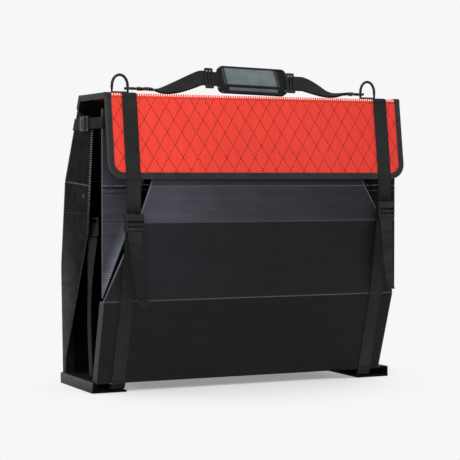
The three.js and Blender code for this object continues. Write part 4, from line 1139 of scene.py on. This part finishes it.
class KAYAK_OT_lid(bpy.types.Operator):
    """Finish the red boards and round their binding tape"""

    bl_idname = "kayak.lid"
    bl_label = "Lid"

    def execute(self, context):
        look = context.scene.kayak_case
        low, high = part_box("lid_top_panel")
        leaned = Matrix.Rotation(math.radians(FLAP_LEAN), 4, "X")
        flap = Matrix.Translation((0, low.y, high.z)) @ leaned
        for part, matrix, cut in (("flap", flap, 2), ("top", Matrix(), 1), ("back", Matrix(), 2)):
            paint = lid_paint(look.lid, f"lid_{part}", matrix, cut, part == "flap")
            wear(cad(f"lid_{part}_panel"), paint)
        tape, skin = tape_paint(look.tape, flap), crease_paint(look.lid)
        for name, wall, body in (("front", "lid_flap", "lid_flap"), ("rear", "lid_back", "case")):
            bodies = ("lid_top", body)
            crease(f"lid_{name}_crease", ("lid_top_panel", f"{wall}_panel"), bodies, 0,
                   BOARD_SKIN, skin, "lid_sheet", 1.2 * MM)
            for end, way in ENDS.items():
                nodes = (f"lid_top_binding_{end}", f"{wall}_binding")
                crease(f"tape_{name}_crease_{end}", nodes, bodies, way * TAPE_MIDDLE,
                       TAPE_SKIN, tape, "binding", 6 * MM)
        for part in ("flap_binding", "back_binding", "top_binding_left", "top_binding_right"):
            node = f"lid_{part}"
            shape = rounded_copy(node, look.tape.round)
            finished(f"{node}_tape", shape, cad(node)["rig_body"], tape, [node], True)
        return {"FINISHED"}


class KAYAK_OT_straps(bpy.types.Operator):
    """Weave the vertical straps, the end straps and the deck strap"""

    bl_idname = "kayak.straps"
    bl_label = "Straps"

    def execute(self, context):
        look = context.scene.kayak_case.webbing
        weave = webbing_paint(look)
        sewn = webbing_paint(look, "webbing_hem", HEM_STITCHES)
        for end in ENDS:
            for name, node, reach in (
                    ("flap_webbing", "front_strap", 18), ("lid_webbing", "top_strap", 5),
                    ("hull_webbing", "lower_strap", 10), ("threaded_webbing", "strap_wrap", 4)):
                strap(f"{name}_{end}", f"{node}_{end}", STRAP, weave, reach * MM)
            strap(f"loose_webbing_{end}", f"strap_tail_{end}", STRAP, sewn, 60 * MM, HEM, look.curl)
            strap(f"end_webbing_{end}", f"end_strap_front_{end}", END_STRAP, weave, 3 * MM)
            self.bent_half(f"end_webbing_back_{end}", f"end_strap_back_{end}", weave)
            for name, nodes, bodies in (
                    ("flap_fold", ("top_strap", "front_strap"), ("lid_top", "lid_flap")),
                    ("rear_fold", ("lower_strap", "top_strap"), ("case", "lid_top"))):
                bridge(f"{name}_{end}", [f"{node}_{end}" for node in nodes], bodies, weave)
        strap("deck_webbing", "deck_strap", DECK_STRAP, weave, 60 * MM)
        return {"FINISHED"}

    def bent_half(self, name, node, paint):
        """The end strap's bent half, with rounded rims."""
        shape = rounded_copy(node, 0.8 * MM, 2)
        weave = shape.loops.layers.uv.new("weave")
        for face in shape.faces:
            for loop in face.loops:
                spot = loop.vert.co
                loop[weave].uv = (spot.y + abs(spot.x), spot.z - END_STRAP_HEIGHT)
        finished(name, shape, "case", paint, [node], True)


class KAYAK_OT_fittings(bpy.types.Operator):
    """Mould the locks, buckles, clip, rings, hooks and adjusters"""

    bl_idname = "kayak.fittings"
    bl_label = "Fittings"

    def execute(self, context):
        look = context.scene.kayak_case.moulding
        black = plastic_paint("black_moulding", look.plastic, (0.07, 0.072, 0.075))
        olive = plastic_paint("olive_moulding", look.olive, (0.1, 0.105, 0.095), 0.42)
        steel = steel_paint(look)
        # the start of a node's name, its paint, rounding, slot, raised parts and extra fullness
        kinds = (
            ("ladder_lock", black, look.round, "buckle", self.lock_ribs, 0),
            ("buckle_socket", olive, look.round, "buckle", self.grip_ribs, 0),
            (("deck_clip", "strap_adjuster", "buckle_"), black, look.round, "buckle", None, 0),
            ("snap_hook", steel, look.hook_round, "hook_steel", self.swivel, 0.6 * MM),
            ("snap_gate", steel, look.round, "hook_steel", None, 0),
            ("d_ring", black, look.hook_round * 0.8, "buckle", None, 0.9 * MM))
        for node in frame["nodes"]:
            for start, *rest in kinds:
                if node.startswith(start):
                    self.mould(node, *rest)
                    break
        return {"FINISHED"}

    def mould(self, node, paint, radius, slot, extra, fuller):
        """A fitting with rounded edges, and its small raised parts."""
        shape = rounded_copy(node, radius)
        shape.normal_update()
        for vert in shape.verts:
            vert.co += vert.normal * fuller
        if extra:
            low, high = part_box(node)
            extra(shape, low, (low + high) / 2, high)
        finished(f"{node}_moulding", shape, cad(node)["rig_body"], paint, [node], True)

    def lock_ribs(self, shape, low, middle, high):
        """The raised frame that stands round the threaded strap, with its three bars."""
        front, tall = low.y - 7.4 * MM, high.z - low.z - 2 * MM
        for side in ENDS.values():
            place = Matrix.Translation((middle.x + side * 21.9 * MM, low.y - 4 * MM, middle.z))
            add_block(shape, place, (3.4 * MM, 9.4 * MM, tall), 1.2 * MM)
        for height, wide in ((low.z + 7.2 * MM, 6.6), (low.z + 19 * MM, 6.6),
                             (high.z - 9.5 * MM, 15.0)):
            place = Matrix.Translation((middle.x, front, height)) @ Matrix.Rotation(0.25, 4, "X")
            add_block(shape, place, (46 * MM, 2.4 * MM, wide * MM), 0.8 * MM)

    def grip_ribs(self, shape, low, middle, high):
        """Four upright ribs on a socket's outer face."""
        outer = high.x - 0.2 * MM if middle.x > 0 else low.x + 0.2 * MM
        for step in range(4):
            place = Matrix.Translation((outer, low.y + (6 + 4.6 * step) * MM, middle.z))
            add_block(shape, place, (1.6 * MM, 1.8 * MM, (high.z - low.z) * 0.62), 0.6 * MM)

    def swivel(self, shape, low, middle, high):
        """The turned barrel between a hook's shank and its eye."""
        inner, way = (low.x, 1) if middle.x > 0 else (high.x, -1)
        turned = Matrix.Rotation(math.radians(90), 4, "Y")
        for at, radius, wide in ((17.0, 5.4, 3), (20.5, 4.4, 4), (24.0, 5.4, 3)):
            place = Matrix.Translation((inner + way * at * MM, middle.y, middle.z)) @ turned
            add_pin(shape, place, radius * MM, wide * MM, tip=1.0)


class KAYAK_OT_carry(bpy.types.Operator):
    """Weave the shoulder strap and stuff its pad"""

    bl_idname = "kayak.carry"
    bl_label = "Shoulder strap"

    def execute(self, context):
        look = context.scene.kayak_case
        weave = webbing_paint(look.webbing, "carry_webbing")
        strap("carry_webbing", "shoulder_strap", CARRY, weave, 1.0)
        for end in ENDS:
            strap(f"carry_return_{end}", f"strap_return_{end}", CARRY, weave, 1.0)
        self.pad(look.pad, webbing_paint(look.webbing, "pad_piping"))
        return {"FINISHED"}

    def pad(self, look, piping_paint):
        turned = Matrix.Rotation(look.lean, 4, "X") @ Matrix.Rotation(look.slope, 4, "Y")
        place = Matrix.Translation(look.centre) @ turned
        sewn = 2 * look.piping
        wide, deep, tall = look.width - sewn, look.depth - 2 * look.swell, look.height - sewn
        shape = bmesh.new()
        bmesh.ops.create_cube(shape, size=1, matrix=Matrix.Diagonal((wide, deep, tall, 1)))
        upright = [edge for edge in shape.edges
                   if abs((edge.verts[0].co - edge.verts[1].co).y) > deep / 2]
        bevel(shape, upright, 0.5 * look.corner, 5, False)
        bevel(shape, sharp_edges(shape, 1.0), deep * 0.35, 3, False)
        bmesh.ops.transform(shape, matrix=place, verts=shape.verts)
        paint = pad_paint(look, place)
        piece = finished("pad", shape, "lid_top", paint, ["shoulder_pad"], True)
        stuffed(piece, look.voxel, look.swell, place.col[1].to_3d())
        piping = bmesh.new()
        for depth in (-0.3, 0.3):
            rim = place @ Matrix.Translation((0, depth * look.depth, 0))
            ring = ring_of(rim, wide / 2, tall / 2, look.corner)
            add_band(piping, ring, sewn, sewn)
        finished("pad_rim", piping, "lid_top", piping_paint, smooth=True)


class KAYAK_OT_seat(bpy.types.Operator):
    """Stuff the seat's base and back"""

    bl_idname = "kayak.seat"
    bl_label = "Stowed seat"

    def execute(self, context):
        foam, look = foam_paint(), context.scene.kayak_case.pad
        for node in ("seat_base", "seat_back"):
            shape = rounded_copy(node, 4 * MM, 2)
            piece = finished(f"{node}_foam", shape, "case", foam, [node], True)
            stuffed(piece, look.seat_voxel, look.seat_swell)
        return {"FINISHED"}


class KAYAK_PT_panel(bpy.types.Panel):
    """Lists the case's operators"""

    bl_idname = "KAYAK_PT_panel"
    bl_label = "Folded Kayak"
    bl_space_type = "VIEW_3D"
    bl_region_type = "UI"
    bl_category = "Kayak"

    def draw(self, context):
        for operator in OPERATORS:
            self.layout.operator(operator.bl_idname)


class KayakSettings(bpy.types.PropertyGroup):
    """All the case's settings."""

    stage: PointerProperty(type=KayakStageSettings)
    sheet: PointerProperty(type=KayakSheetSettings)
    lid: PointerProperty(type=KayakLidSettings)
    tape: PointerProperty(type=KayakTapeSettings)
    webbing: PointerProperty(type=KayakWebbingSettings)
    moulding: PointerProperty(type=KayakMouldingSettings)
    pad: PointerProperty(type=KayakPadSettings)


GROUPS = (KayakStageSettings, KayakSheetSettings, KayakLidSettings, KayakTapeSettings,
          KayakWebbingSettings, KayakMouldingSettings, KayakPadSettings, KayakSettings)
OPERATORS = (KAYAK_OT_stage, KAYAK_OT_hull, KAYAK_OT_lid, KAYAK_OT_straps, KAYAK_OT_fittings,
             KAYAK_OT_carry, KAYAK_OT_seat)
CLASSES = (*GROUPS, *OPERATORS, KAYAK_PT_panel)


def register():
    for item in CLASSES:
        bpy.utils.register_class(item)
    bpy.types.Scene.kayak_case = PointerProperty(type=KayakSettings)


def unregister():
    del bpy.types.Scene.kayak_case
    for item in reversed(CLASSES):
        bpy.utils.unregister_class(item)


def main():
    register()
    for operator in OPERATORS:
        kind, name = operator.bl_idname.split(".")
        getattr(getattr(bpy.ops, kind), name)()


if __name__ == "__main__":
    main()
